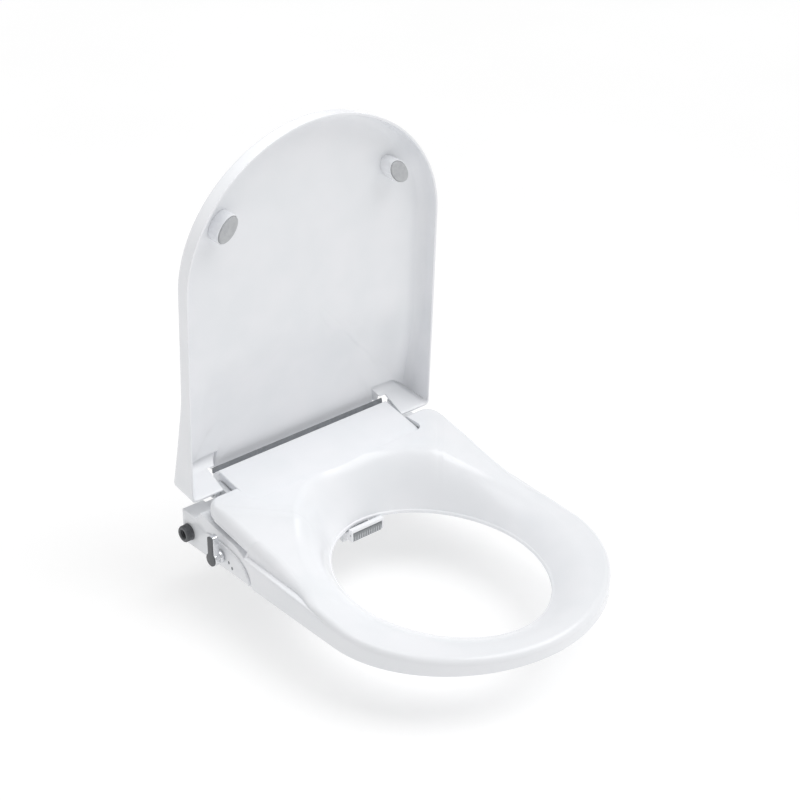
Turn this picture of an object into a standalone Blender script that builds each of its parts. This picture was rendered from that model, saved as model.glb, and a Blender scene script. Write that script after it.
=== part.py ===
# Bidet seat with hinged lid, hinged seat ring, side control lever and two sliding wash nozzles.
# Frame: metres, +Z up, front of the seat toward -Y, the user's right hand side (controls) toward -X.
# Origin: on the bowl's top face, midway between the two fixing bolts, straight below the hinge axis.
import bpy
import bmesh
from math import cos, sin, tan, pi, radians, sqrt, atan2, hypot
from mathutils import Vector, Matrix

for ob in list(bpy.data.objects):
    bpy.data.objects.remove(ob, do_unlink=True)

MM = 0.001
GAP = 0.3 * MM                  # fit between pieces that touch

# ---- overall ----
HALF_W = 181.8 * MM             # half width of the seat at its widest
SEAT_L = 438.9 * MM             # hinge axis to the front tip of the seat
WIDEST = 275.8 * MM             # where the side runs into the front arc
REAR_HALF_W = 180.8 * MM        # half width at the hinge
SQUARE = 1.94                   # exponent of the front arc
AXIS_Z = 62.0 * MM              # hinge axis above the bowl
SEAT_BOTTOM = 6.0 * MM          # lower edge of the seat above the bowl
# ---- slopes of the top ----
COVER_SLOPE = 0.193             # fall of the top cover toward the front
COVER_Z0 = 81.58 * MM           # height of the cover's plane above the hinge axis line
RIM_SLOPE = 0.055               # fall of the closed lid's rim
RIM_DROP = 14.06 * MM           # closed rim below the hinge axis
EDGE_RISE = 1.4 * MM            # seat's front top edge above the closed rim's plane
LEDGE_DROP = 2.0 * MM           # side ledge below the closed rim's plane
# ---- seat ----
SKIN = 4.0 * MM                 # wall of the seat
SKIN_REAR = 7.0 * MM            # wall of the raised rear part
RAISED_INSET = 8.0 * MM         # raised rear part inside the outline
SIDE_ROUND = 16.0 * MM          # rounding of the raised part's side
FRONT_ROUND = 8.0 * MM          # rounding of the front edge
RAISED_H = 15.0 * MM            # height of the raised part's side
SHOULDER_U = 27.5 * MM          # shoulders' rear face in front of the axis
SHOULDER_R = 16.0 * MM          # plan radius of the shoulders' outer rear corner
NOTCH_U0 = 106.0 * MM           # where the side band starts
NOTCH_U1 = 125.0 * MM           # where the side band is at full height
HOLE_U = 242.8 * MM             # hole centre in front of the axis
HOLE_A = 142.9 * MM             # half length of the hole
HOLE_B = 113.5 * MM             # half width of the hole
LIP_Z = 13.0 * MM               # top of the inner lip above the bowl
LIP_H = 4.5 * MM                # depth of the inner lip
DISH_R = 45.0 * MM              # width of the slope into the hole
# ---- lid ----
LID_L = 443.5 * MM              # hinge axis to the lid's tip
LID_HALF_W = 182.5 * MM
LID_REAR_HALF_W = 181.2 * MM
LID_WALL = 3.0 * MM
LID_DEPTH = 24.0 * MM           # depth of the lid over most of its length
LID_DEPTH_REAR = 42.0 * MM      # depth at the hinge end
LID_DEEPENS = 135.0 * MM        # where the deepening starts
LID_END = 6.0 * MM              # lid's rear edge beyond the axis
LID_CHAMFER = 17.0 * MM         # slope of the rear end wall
LID_OPEN = radians(87.2)        # lid above the horizontal, as it stands
LID_NOTCH_W = 137.0 * MM        # half width of the cut-out between the ears
LID_NOTCH_S = 13.0 * MM         # lower edge of the floor between the ears
EAR_NOTCH_S = 22.0 * MM         # cut beside the ears, clear of the seat's arms
EAR_IN = 131.0 * MM             # where the ears start
EAR_NOTCH_IN = 126.5 * MM       # where the cut beside the ears starts, clear of the cover's side
LID_CROWN = 9.5 * MM            # dome of the lid's floor over the seat's raised rear part
LID_CROWN_S = (25 * MM, 75 * MM, 112 * MM, 165 * MM)   # where the dome rises and falls along the lid
LID_CROWN_X = (128 * MM, 160 * MM)                     # where it fades toward the sides
BUMP_X = 123.0 * MM
BUMP_S = 342.0 * MM
BUMP_A = 18.5 * MM
BUMP_B = 11.5 * MM
BUMP_TILT = radians(38)
BUMP_UNDER = 1.75 * MM          # bumper faces under the rim's plane
PAD_T = 3.0 * MM
# ---- top cover and housing ----
COVER_HALF_W = 128.5 * MM
COVER_BACK = -6.3 * MM          # in front of the axis
COVER_FRONT = 64.0 * MM
COVER_T = 3.5 * MM
COVER_R = 12.0 * MM
POCKET_GAP = 1.5 * MM           # play between the seat's pocket and the cover
BLOCK_STEP = 13.0 * MM           # step of the block behind the cover
BLOCK_STEP_H = 14.0 * MM        # top of that step above the hinge axis
BASE_BACK = -14.0 * MM
BASE_FRONT = 74.0 * MM
BASE_HALF_W = 176.5 * MM
WING_IN = 147.0 * MM            # inner face of the two side wings
WING_TIP = 119.0 * MM           # front tip of the wings
PLATE_Z0 = 1.5 * MM             # underside of the base plate
PLATE_T = 2.2 * MM
SLAB_Z = 46.0 * MM              # top of the low part of the housing
WALL = 3.0 * MM
# ---- hinge ----
PIN_R = 5.0 * MM
EYE_R = 9.0 * MM
SEAT_ARM_X = 128.9 * MM
ARM_T = 6.8 * MM
LID_ARM_X = 136.6 * MM
# ---- controls ----
CTRL_Z = 20.0 * MM              # height of lever and inlet
LEVER_U = 63.0 * MM
INLET_U = -2.0 * MM
INLET_R = 10.5 * MM
INLET_OUT = 10.0 * MM
INLET_BORE = 5.6 * MM
LEVER_OUT = 15.0 * MM
LEVER_LEN = 31.0 * MM
LEVER_W = 10.0 * MM
LEVER_BAR_T = 8.0 * MM          # the lever's bar, which stands outside the closed lid
HUB_R = 8.6 * MM
# ---- nozzles ----
NOZ_R = 4.5 * MM
NOZ_X = 9.5 * MM
NOZ_TILT = radians(20)
NOZ_TIP_U = 98.0 * MM
NOZ_TIP_Z = -12.0 * MM
NOZ_LEN = 52.0 * MM
GUARD_HALF_W = 24.5 * MM
GUARD_U = 108.0 * MM
# ---- fixing ----
BOLT_X = 70.0 * MM
BOLT_R = 3.6 * MM
BOLT_LEN = 62.0 * MM


# ---------------------------------------------------------------- materials
def material(name, rgb, rough, metal=0.0):
    m = bpy.data.materials.new(name)
    m.use_nodes = True
    b = m.node_tree.nodes["Principled BSDF"]
    b.inputs["Base Color"].default_value = (*rgb, 1.0)
    b.inputs["Roughness"].default_value = rough
    b.inputs["Metallic"].default_value = metal
    return m


WHITE = material("gloss_white_plastic", (0.86, 0.87, 0.88), 0.18)
WHITE_IN = material("matte_white_plastic", (0.78, 0.79, 0.80), 0.45)
GREY = material("soft_grey_rubber", (0.32, 0.33, 0.34), 0.7)
DARK = material("dark_grey_plastic", (0.06, 0.065, 0.07), 0.5)
CHROME = material("chrome", (0.62, 0.63, 0.65), 0.15, 1.0)
STEEL = material("brushed_steel", (0.5, 0.5, 0.51), 0.35, 1.0)
HOSE = material("hose_white", (0.7, 0.72, 0.74), 0.5)
BLACK_RUBBER = material("black_rubber", (0.03, 0.03, 0.03), 0.8)


# ---------------------------------------------------------------- helpers
def finish(me, name, mat, smooth=35):
    me.validate()
    ob = bpy.data.objects.new(name, me)
    bpy.context.scene.collection.objects.link(ob)
    me.materials.append(mat)
    if smooth:
        me.shade_smooth()
        me.set_sharp_from_angle(angle=radians(smooth))
    return ob


def from_bm(bm, name, mat, smooth=35):
    bmesh.ops.recalc_face_normals(bm, faces=bm.faces)
    me = bpy.data.meshes.new(name)
    bm.to_mesh(me)
    bm.free()
    return finish(me, name, mat, smooth)


def box(name, mat, x, y, z, bevel=0.0, seg=2):
    """x, y and z are (low, high) pairs."""
    bm = bmesh.new()
    bmesh.ops.create_cube(bm, size=1.0)
    for v in bm.verts:
        v.co = Vector([(a + b) / 2 + c * (b - a) for (a, b), c in zip((x, y, z), v.co)])
    ob = from_bm(bm, name, mat)
    if bevel:
        add_bevel(ob, bevel, seg)
    return ob


def add_bevel(ob, width, seg=2, angle=40):
    m = ob.modifiers.new("soft_edges", "BEVEL")
    m.width = width
    m.segments = seg
    m.limit_method = "ANGLE"
    m.angle_limit = radians(angle)
    m.use_clamp_overlap = True


def cut(ob, cutters, op="DIFFERENCE"):
    for c in cutters if isinstance(cutters, (list, tuple)) else [cutters]:
        m = ob.modifiers.new("cut", "BOOLEAN")
        m.operation = op
        m.solver = "EXACT"
        m.object = c
        c.hide_render = True
        c.display_type = "WIRE"
    return ob


def prism(name, mat, pts, lo, hi, axis="X", bevel=0.0, seg=2):
    """Outline pts extruded along one axis. For X the points are (u, z) with u toward the front."""
    bm = bmesh.new()
    def co(a, b, t):
        if axis == "X":
            return Vector((t, -a, b))
        if axis == "Y":
            return Vector((a, t, b))
        return Vector((a, b, t))
    low = [bm.verts.new(co(a, b, lo)) for a, b in pts]
    high = [bm.verts.new(co(a, b, hi)) for a, b in pts]
    n = len(pts)
    bm.faces.new(low)
    bm.faces.new(high)
    for i in range(n):
        bm.faces.new((low[i], low[(i + 1) % n], high[(i + 1) % n], high[i]))
    ob = from_bm(bm, name, mat)
    if bevel:
        add_bevel(ob, bevel, seg)
    return ob


def turned(name, mat, profile, seg, matrix):
    """A closed or open profile of (radius, height) turned about the local Z axis; points on the axis close it."""
    bm = bmesh.new()
    rings = []
    for r, h in profile:
        if r < 1e-7:
            rings.append([bm.verts.new((0, 0, h))])
        else:
            rings.append([bm.verts.new((r * cos(2 * pi * k / seg), r * sin(2 * pi * k / seg), h))
                for k in range(seg)])
    pairs = list(zip(rings, rings[1:]))
    if profile[0][0] > 1e-7 and profile[-1][0] > 1e-7:
        pairs.append((rings[-1], rings[0]))
    for a, b in pairs:
        for k in range(seg):
            q = (k + 1) % seg
            if len(a) == 1 and len(b) == 1:
                continue
            if len(a) == 1:
                bm.faces.new((a[0], b[k], b[q]))
            elif len(b) == 1:
                bm.faces.new((a[k], a[q], b[0]))
            else:
                bm.faces.new((a[k], a[q], b[q], b[k]))
    bmesh.ops.transform(bm, matrix=matrix, verts=bm.verts)
    return from_bm(bm, name, mat)


def along(axis, centre):
    """Matrix that takes local +Z to the named axis at a centre."""
    turn = {"X": Matrix.Rotation(pi / 2, 4, "Y"), "-X": Matrix.Rotation(-pi / 2, 4, "Y"), "Z": Matrix(),
        "-Z": Matrix.Rotation(pi, 4, "X")}[axis]
    return Matrix.Translation(centre) @ turn


def rod(name, mat, axis, centre, r, lo, hi, seg=20):
    return turned(name, mat, [(0, lo), (r, lo), (r, hi), (0, hi)], seg, along(axis, centre))


def tube(name, mat, axis, centre, r0, r1, lo, hi, seg=24):
    return turned(name, mat, [(r0, lo), (r1, lo), (r1, hi), (r0, hi)], seg, along(axis, centre))


def hose(name, mat, pts, r, res=2):
    """Round hose through smooth points."""
    cv = bpy.data.curves.new(name, "CURVE")
    cv.dimensions = "3D"
    cv.bevel_depth = r
    cv.bevel_resolution = res
    cv.use_fill_caps = True
    sp = cv.splines.new("POLY")
    fine = []
    P = [Vector(p) for p in pts]
    P = [2 * P[0] - P[1]] + P + [2 * P[-1] - P[-2]]
    for i in range(1, len(P) - 2):
        for k in range(5):
            t = k / 5
            a, b, c, d = P[i - 1:i + 3]
            fine.append(0.5 * ((2 * b) + (c - a) * t + (2 * a - 5 * b + 4 * c - d) * t * t + (3 * b - a - 3 * c + d) * t ** 3))
    fine.append(P[-2])
    sp.points.add(len(fine) - 1)
    for s, p in zip(sp.points, fine):
        s.co = (*p, 1.0)
    ob = bpy.data.objects.new(name, cv)
    bpy.context.scene.collection.objects.link(ob)
    cv.materials.append(mat)
    return ob


def empty(name, location, rx=0.0):
    e = bpy.data.objects.new(name, None)
    e.location = location
    e.rotation_euler = (rx, 0, 0)
    bpy.context.scene.collection.objects.link(e)
    return e


def hang(parent, *obs, local=False):
    """Parents pieces to an axis empty; pieces drawn in world places are moved into its frame."""
    for ob in obs:
        if not local:
            ob.data.transform(Matrix.Translation(-Vector(parent.location)))
        ob.parent = parent


def smooth_max(a, b, k):
    return 0.5 * (a + b + sqrt((a - b) ** 2 + k * k))


# ---------------------------------------------------------------- shared surfaces (u is the distance in front of the axis)
def cover_z(u):
    return COVER_Z0 - COVER_SLOPE * u


def rim_z(u):
    return AXIS_Z - RIM_DROP / cos(RIM_ANGLE) - RIM_SLOPE * u


RIM_ANGLE = atan2(RIM_SLOPE, 1.0)


def half_width(u, length, widest, w0, w1, square):
    if u <= widest:
        return w1 - (w1 - w0) * ((widest - u) / widest) ** 1.8
    t = min(1.0, (u - widest) / (length - widest))
    return w1 * (1 - t ** square) ** (1 / square)


def outline(length, widest, w0, w1, square, start, n_side, n_arc, extra=()):
    """Right half of a seat outline from the rear to the tip, as (x, u)."""
    us = sorted(set([start + (widest - start) * k / n_side for k in range(n_side + 1)] + list(extra)))
    pts = [(half_width(u, length, widest, w0, w1, square), u) for u in us]
    for k in range(1, n_arc + 1):
        a = pi / 2 * k / n_arc
        pts.append((w1 * max(0.0, cos(a)) ** (2 / square),
            widest + (length - widest) * sin(a) ** (2 / square)))
    pts[-1] = (0.0, length)
    return pts


# ================================================================ seat ring
def hole_point(x, u):
    """Point of the hole's edge in the direction of (x, u) from its centre."""
    n = 1.95
    dx, du = x, u - HOLE_U
    k = (abs(dx / HOLE_B) ** n + abs(du / HOLE_A) ** n) ** (-1 / n)
    return dx * k, HOLE_U + du * k


def seat_plateau(u):
    return smooth_max(cover_z(u), rim_z(u) + EDGE_RISE, 2.5 * MM)


def ramp(u, a, b):
    t = min(1.0, max(0.0, (u - a) / (b - a)))
    return t * t * (3 - 2 * t)


def seat_section(x, u, rear):
    """Closed section from the outer edge to the hole, as (inset, z) pairs. rear is 1 along the shoulders' rear face."""
    hx, hu = hole_point(x, u)
    R = hypot(x - hx, u - hu)
    top = seat_plateau(u)
    banded = ramp(u, NOTCH_U0, NOTCH_U0 + 3 * MM) * (1 - rear)
    fade = ramp(u, 0.195, 0.245)
    inset = RAISED_INSET * (1 - fade)
    inset0 = RAISED_INSET * (1 - banded) * (1 - rear) * (1 - fade)
    low_raised = top - RAISED_H
    t = min(1.0, max(0.0, (u - NOTCH_U0) / (NOTCH_U1 - NOTCH_U0)))
    notch = SEAT_BOTTOM + 31 * MM * sqrt(max(0.0, 1 - t ** 1.6))
    low = low_raised if banded <= 0 else (1 - banded) * low_raised + banded * notch
    if rear:
        low = low_raised
        inset = inset0 = 0.0
    ledge = rim_z(u) - LEDGE_DROP
    ledge = banded * ledge + (1 - banded) * (low + 3 * MM)
    rnd = (1 - fade) * SIDE_ROUND + fade * FRONT_ROUND
    if rear:
        rnd = 7 * MM
    wall_top = max(top - rnd, ledge + 0.6 * MM)
    rnd_z = top - wall_top
    dish = min(DISH_R, R - inset - rnd - 2 * MM)
    depth = top - LIP_Z
    skin = SKIN + (SKIN_REAR - SKIN) * (1 - ramp(u, 0.075, 0.13))
    # outer face, ledge, rounding
    P = [(inset0, low), (inset0, ledge - 2.4 * MM if ledge - 2.4 * MM > low + 0.4 * MM else low + 0.4 * MM)]
    P.append((inset0 + 0.9 * MM * banded, ledge - 0.6 * MM))
    P.append((inset0 + 2.4 * MM * banded, ledge))
    P.append((max(inset, inset0 + 2.8 * MM * banded), ledge + 0.25 * MM))
    start = max(inset, inset0 + 2.8 * MM * banded)
    span = max(rnd - (start - inset), 3 * MM)
    for k in (0, 1, 2, 3):
        a = pi / 2 * (k / 3)
        P.append((start + 0.15 * MM + span * (1 - cos(a)), wall_top + 0.3 * MM + (rnd_z - 0.3 * MM) * sin(a)))
    # slope into the hole
    first = R - dish
    for k in range(0, 7):
        t = k / 6
        P.append((first + (dish - 2.0 * MM) * t, top - depth * t ** 2.0))
    P[-1] = (R - 2.2 * MM, LIP_Z - 0.1 * MM)
    P.append((R - 0.7 * MM, LIP_Z - 0.9 * MM))
    P.append((R, LIP_Z - 2.2 * MM))
    P.append((R - 0.1 * MM, LIP_Z - LIP_H))
    # underside, back toward the outer edge
    Q = [(R - 2.4 * MM, LIP_Z - LIP_H)]
    inner = R - 4.6 * MM
    for k in (5, 4, 3, 2, 1, 0):
        t = k / 6
        r = first + (dish - 2.0 * MM) * t - 1.4 * MM * t
        Q.append((min(r, inner), max(top - depth * t ** 2.0 - skin, LIP_Z - LIP_H + 0.3 * MM * (6 - k))))
    wall = start + SKIN
    Q.append((wall + span * 0.45, wall_top + rnd_z * 0.9 - skin))
    Q.append((wall + 0.2 * MM, max(wall_top + rnd_z * 0.35 - skin * 0.6, low + 1.2 * MM)))
    Q.append((max(inset0 + SKIN - 0.2 * MM, wall - 3.2 * MM * banded),
        max(min(ledge - SKIN, wall_top - SKIN), low + 0.6 * MM)))
    Q.append((inset0 + SKIN - 0.4 * MM, low))
    return P + Q, R, (hx, hu)


def build_seat():
    extra = [NOTCH_U0 + d * MM for d in (-5, -0.5, 1.5, 3, 6, 10, 14, 17, 19, 25)] + [0.21, 0.235, 0.25]
    right = outline(SEAT_L, WIDEST, REAR_HALF_W, HALF_W, SQUARE, SHOULDER_U + SHOULDER_R, 9, 13, extra)
    stations = []
    # rear face from the middle out, then the rounded corner
    w = half_width(SHOULDER_U, SEAT_L, WIDEST, REAR_HALF_W, HALF_W, SQUARE) - RAISED_INSET
    for k in range(0, 6):
        stations.append(((w - SHOULDER_R) * k / 5, SHOULDER_U, 1.0))
    for k in (1, 2, 3):
        a = pi / 2 * k / 4
        stations.append((w - SHOULDER_R * (1 - sin(a)), SHOULDER_U + SHOULDER_R * (1 - cos(a)), 1.0))
    side = [(x, u, 0.0) for x, u in right]
    stations += side
    mirrored = [(-x, u, r) for x, u, r in reversed(stations[1:-1])]
    loop = stations + mirrored
    bm = bmesh.new()
    rings = []
    for x, u, rear in loop:
        sec, R, (hx, hu) = seat_section(x, u, rear)
        dx, du = (hx - x) / R, (hu - u) / R
        rings.append([bm.verts.new((x + dx * r, -(u + du * r), z)) for r, z in sec])
    n = len(rings[0])
    for i, a in enumerate(rings):
        b = rings[(i + 1) % len(rings)]
        for j in range(n):
            q = (j + 1) % n
            bm.faces.new((a[j], a[q], b[q], b[j]))
    return from_bm(bm, "seat_ring", WHITE, 30)


seat_ring = build_seat()
p = POCKET_GAP
c = COVER_R + p
pocket_pts = [(-COVER_HALF_W - p, -COVER_FRONT - p + c)] + [(-COVER_HALF_W - p + c * (1 - cos(a)),
    -COVER_FRONT - p + c * (1 - sin(a))) for a in [pi / 2 * k / 6 for k in range(1, 7)]]
pocket_pts += [(-x, y) for x, y in reversed(pocket_pts)]
pocket_pts = pocket_pts + [(COVER_HALF_W + p, 0.02), (-COVER_HALF_W - p, 0.02)]
pocket = prism("seat_pocket_cutter", WHITE, pocket_pts, 0.0, 0.12, axis="Z")
cut(seat_ring, pocket)

seat_axis = empty("seat_hinge_axis", (0, 0, AXIS_Z))
hang(seat_axis, seat_ring, pocket)


def eye(cu, cz, r, a0, a1, n=10):
    return [(cu + r * cos(a0 + (a1 - a0) * k / n), cz + r * sin(a0 + (a1 - a0) * k / n))
        for k in range(n + 1)]


for side, s in (("left", 1), ("right", -1)):
    under = lambda u: cover_z(u) - SKIN_REAR - 0.8 * MM
    pts = eye(0, AXIS_Z, EYE_R, radians(75), radians(285), 12)
    pts += [(SHOULDER_U, AXIS_Z - EYE_R), (56 * MM, AXIS_Z - EYE_R + 1 * MM), (56 * MM, under(56 * MM)),
        (SHOULDER_U + 3 * MM, under(SHOULDER_U + 3 * MM)), (SHOULDER_U - 4 * MM, AXIS_Z + 4 * MM)]
    a, b = SEAT_ARM_X * s, (SEAT_ARM_X + ARM_T) * s
    arm = prism(f"seat_hinge_{side}", WHITE_IN, pts, min(a, b), max(a, b))
    room = prism(f"arm_room_cutter_{side}", WHITE, [(SHOULDER_U - 8 * MM, 0.03),
        (SHOULDER_U - 8 * MM, under(SHOULDER_U - 8 * MM) + 0.4 * MM), (57 * MM, under(57 * MM) + 0.4 * MM),
        (57 * MM, 0.03)], min(a, b) - 0.5 * MM, max(a, b) + 0.5 * MM)
    cut(seat_ring, room)
    hang(seat_axis, room)
    bore = rod(f"seat_bore_{side}", WHITE_IN, "X", (0, 0, AXIS_Z), PIN_R + GAP, 0.1 * s if s > 0 else -0.16,
        0.16 if s > 0 else -0.1, 20)
    cut(arm, bore)
    hang(seat_axis, arm, bore)


# seat buffers, four under the ring
BUFFER_STEM_R = 5.5 * MM
BUFFER_PLAY = 0.9 * MM           # between a buffer's stem and the ring's underside


def outer_point(x, u):
    """How far along the ray from the hole's centre through (x, u) the seat's outline lies, and its u."""
    k = 1.0
    while abs(x) * k < half_width(HOLE_U + (u - HOLE_U) * k, SEAT_L, WIDEST, REAR_HALF_W, HALF_W, SQUARE):
        k += 0.002
    return k, HOLE_U + (u - HOLE_U) * k


def ring_underside(x, u, near):
    """Height of the ring's underside at a point, measured as much as near closer to the hole."""
    hx, hu = hole_point(x, u)
    k, outer_u = outer_point(x, u)
    dist = hypot(x - hx, u - hu) - near
    across = hypot(x * k - hx, outer_u - hu)
    dish = min(DISH_R, across - FRONT_ROUND - 2 * MM)
    t = max(0.0, (dish - dist) / (dish - 3.4 * MM))
    plateau = seat_plateau(outer_u)
    return plateau - (plateau - LIP_Z) * t ** 2 - SKIN


for name, bx, bu in (("front_left", 98, 366), ("front_right", -98, 366), ("rear_left", 143, 196),
        ("rear_right", -143, 196)):
    x, u = bx * MM, bu * MM
    top = ring_underside(x, u, BUFFER_STEM_R) - BUFFER_PLAY
    foot = [(0, 0.3 * MM), (7 * MM, 0.3 * MM), (8 * MM, 1.5 * MM), (8 * MM, SEAT_BOTTOM)]
    stem = [(BUFFER_STEM_R, SEAT_BOTTOM + 1 * MM), (BUFFER_STEM_R, top), (0, top)]
    b = turned(f"seat_buffer_{name}", GREY, foot + stem, 16, along("Z", (x, -u, 0)))
    hang(seat_axis, b)


# ================================================================ lid, drawn flat and then turned up
def lid_depth(s):
    t = max(0.0, (LID_DEEPENS - s) / (LID_DEEPENS - 14 * MM))
    return LID_DEPTH + (LID_DEPTH_REAR - LID_DEPTH) * t ** 1.15


def fade(a, b, v):
    """Smooth step from 0 at a to 1 at b."""
    t = min(1.0, max(0.0, (v - a) / (b - a)))
    return t * t * (3 - 2 * t)


def lid_floor(x, s):
    """Depth of the floor, domed so that the closed lid clears the seat's raised rear part."""
    rise, full, fall, end = LID_CROWN_S
    along_lid = fade(rise, full, s) - fade(fall, end, s)
    return lid_depth(s) + LID_CROWN * along_lid * (1 - fade(*LID_CROWN_X, abs(x)))


LID_WIDEST = 276.0 * MM


def build_lid():
    side = outline(LID_L, LID_WIDEST, LID_REAR_HALF_W, LID_HALF_W, SQUARE, LID_END + 6 * MM, 9, 14)
    # between the ears the floor runs straight on, and the cut-out trims it; the ears have a sloping end wall
    loop = [(EAR_IN * k / 5, LID_END - 10 * MM, 0.0) for k in range(6)]
    loop += [(EAR_IN + 7 * MM, LID_END, 1.0), (156 * MM, LID_END, 1.0),
        (LID_REAR_HALF_W * 0.96, LID_END, 1.0)]
    loop.append((LID_REAR_HALF_W - 1.6 * MM, LID_END + 1.6 * MM, 0.6))
    loop += [(x, s, 0.0) for x, s in side]
    loop += [(-x, s, e) for x, s, e in reversed(loop[1:-1])]
    cx, cs = 0.0, 215 * MM
    bm = bmesh.new()

    def ring():
        out = []
        for x, s, e in loop:
            d = Vector((cx - x, cs - s))
            L = d.length
            d = d / L
            # rear end wall slopes, side walls stand almost upright
            D = lid_depth(s)
            along_s = abs(d.y)
            slope = (LID_CHAMFER * e) / max(along_s, 0.3)
            out.append((x, s, d, L, D, slope))
        return out

    base = ring()

    def layer(fn):
        vs = []
        for x, s, d, L, D, slope in base:
            inset, z = fn(L, D, slope, x, s, d)
            px, ps = x + d.x * inset, s + d.y * inset
            vs.append((px, ps, z))
        return vs

    draft = 2.0 * MM

    layers = []
    R_out = 8 * MM
    R_in = 11 * MM
    W = LID_WALL

    def wall_point(L, D, slope, z, extra):
        return (draft + slope) * z / D + extra

    layers.append(layer(lambda L, D, slope, x, s, d: (0.0, 0.4 * MM)))
    layers.append(layer(lambda L, D, slope, x, s, d: (wall_point(L, D, slope, 8 * MM, 0), 8 * MM)))
    for k in range(0, 4):
        a = pi / 2 * k / 3
        layers.append(layer(lambda L, D, slope, x, s, d,
            a=a: (wall_point(L, D, slope, D - R_out + R_out * sin(a), R_out * (1 - cos(a))),
            D - R_out + R_out * sin(a))))
    fr = (0.12, 0.21, 0.3, 0.42, 0.55, 0.8)

    def floor(off):
        res = []
        for f in fr:
            vs = []
            for x, s, d, L, D, slope in base:
                i0 = draft + slope + R_out
                r = i0 + (L - i0) * f
                px, ps = x + d.x * r, s + d.y * r
                vs.append((px, ps, lid_floor(px, ps) - off))
            res.append(vs)
        return res
    layers += floor(0.0)
    inner = []
    inner.append(layer(lambda L, D, slope, x, s, d: (W, 0.4 * MM)))
    inner.append(layer(lambda L, D, slope, x, s, d: (W + wall_point(L, D, slope, 7 * MM, 0), 7 * MM)))
    for k in range(0, 4):
        a = pi / 2 * k / 3
        inner.append(layer(lambda L, D, slope, x, s, d,
            a=a: (W + wall_point(L, D, slope, D - W - R_in + R_in * sin(a), R_in * (1 - cos(a))),
            D - W - R_in + R_in * sin(a))))
    inner += floor(W)
    lip_out = layer(lambda L, D, slope, x, s, d: (0.5 * MM, 0.0))
    lip_in = layer(lambda L, D, slope, x, s, d: (W - 0.5 * MM, 0.0))
    seq = list(reversed(layers)) + [lip_out, lip_in] + inner
    rings = [[bm.verts.new((px, -ps, z - RIM_DROP)) for px, ps, z in l] for l in seq]
    m = len(loop)
    for a, b in zip(rings, rings[1:]):
        for i in range(m):
            q = (i + 1) % m
            bm.faces.new((a[i], a[q], b[q], b[i]))
    for rg, off in ((rings[0], 0.0), (rings[-1], W)):
        c0 = bm.verts.new((cx, -cs, lid_depth(cs) - off - RIM_DROP))
        for i in range(m):
            bm.faces.new((rg[i], rg[(i + 1) % m], c0))
    return from_bm(bm, "lid_shell", WHITE, 30)


lid_axis = empty("lid_hinge_axis", (0, 0, AXIS_Z), -LID_OPEN)
lid = build_lid()
notch_pts = [(LID_NOTCH_W, 0.03), (LID_NOTCH_W, -EAR_NOTCH_S), (EAR_NOTCH_IN, -EAR_NOTCH_S),
    (EAR_NOTCH_IN, -LID_NOTCH_S)]
notch_pts += [(-x, y) for x, y in reversed(notch_pts)]
notch = prism("lid_notch_cutter", WHITE, notch_pts, -0.05, 0.06, axis="Z")
cut(lid, notch)
hang(lid_axis, lid, notch, local=True)

for side, s in (("left", 1), ("right", -1)):
    def oval(a, b, n=24):
        out = []
        for k in range(n):
            t = 2 * pi * k / n
            q, w = a * cos(t), b * sin(t)
            ang = BUMP_TILT
            out.append((s * (BUMP_X + q * cos(ang + pi / 2) + w * sin(ang + pi / 2)),
                -(BUMP_S - (-q * sin(ang + pi / 2) + w * cos(ang + pi / 2)))))
        return out
    floor_z = lid_depth(BUMP_S) - LID_WALL - RIM_DROP
    face_z = BUMP_UNDER - RIM_DROP
    post = prism(f"lid_bumper_post_{side}", WHITE, oval(BUMP_A, BUMP_B), face_z + PAD_T - 1.2 * MM,
        floor_z - GAP, axis="Z")
    seatc = prism(f"bumper_seat_cutter_{side}", WHITE, oval(BUMP_A - 1.2 * MM, BUMP_B - 1.2 * MM),
        face_z - 5 * MM, face_z + PAD_T + GAP, axis="Z")
    cut(post, seatc)
    pad = prism(f"lid_bumper_pad_{side}", GREY, oval(BUMP_A - 1.6 * MM, BUMP_B - 1.6 * MM), face_z,
        face_z + PAD_T, axis="Z", bevel=0.5 * MM, seg=1)
    hang(lid_axis, post, seatc, pad, local=True)
    # gusset from the hinge eye to the outside of the lid's end wall
    k = LID_CHAMFER / LID_DEPTH_REAR
    wall_s = lambda n: LID_END + (n + RIM_DROP) * k
    a, b = LID_ARM_X * s, (LID_ARM_X + ARM_T) * s
    pts = eye(0, 0, EYE_R - 1 * MM, radians(110), radians(300), 12)
    pts += [(wall_s(-8 * MM) - 0.9 * MM, -8 * MM), (wall_s(14 * MM) - 0.9 * MM, 14 * MM), (6 * MM, 14 * MM)]
    arm = prism(f"lid_hinge_{side}", WHITE_IN, pts, min(a, b), max(a, b))
    bore = rod(f"lid_bore_{side}", WHITE_IN, "X", (0, 0, 0), PIN_R + GAP, -0.16 if s < 0 else 0.1, -0.1
        if s < 0 else 0.16, 20)
    cut(arm, bore)
    hang(lid_axis, arm, bore, local=True)


# ================================================================ base
def slope_poly(u0, u1, z0, drop, wall=0.0):
    """Side outline of the block under the cover, with a lower step behind it that holds the hinge."""
    back = u0 - BLOCK_STEP
    step = AXIS_Z + BLOCK_STEP_H - wall
    return [(back, z0), (back, step), (u0, step), (u0 + 0.5 * MM, cover_z(u0) - drop),
        (u1, cover_z(u1) - drop), (u1, z0)]


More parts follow.
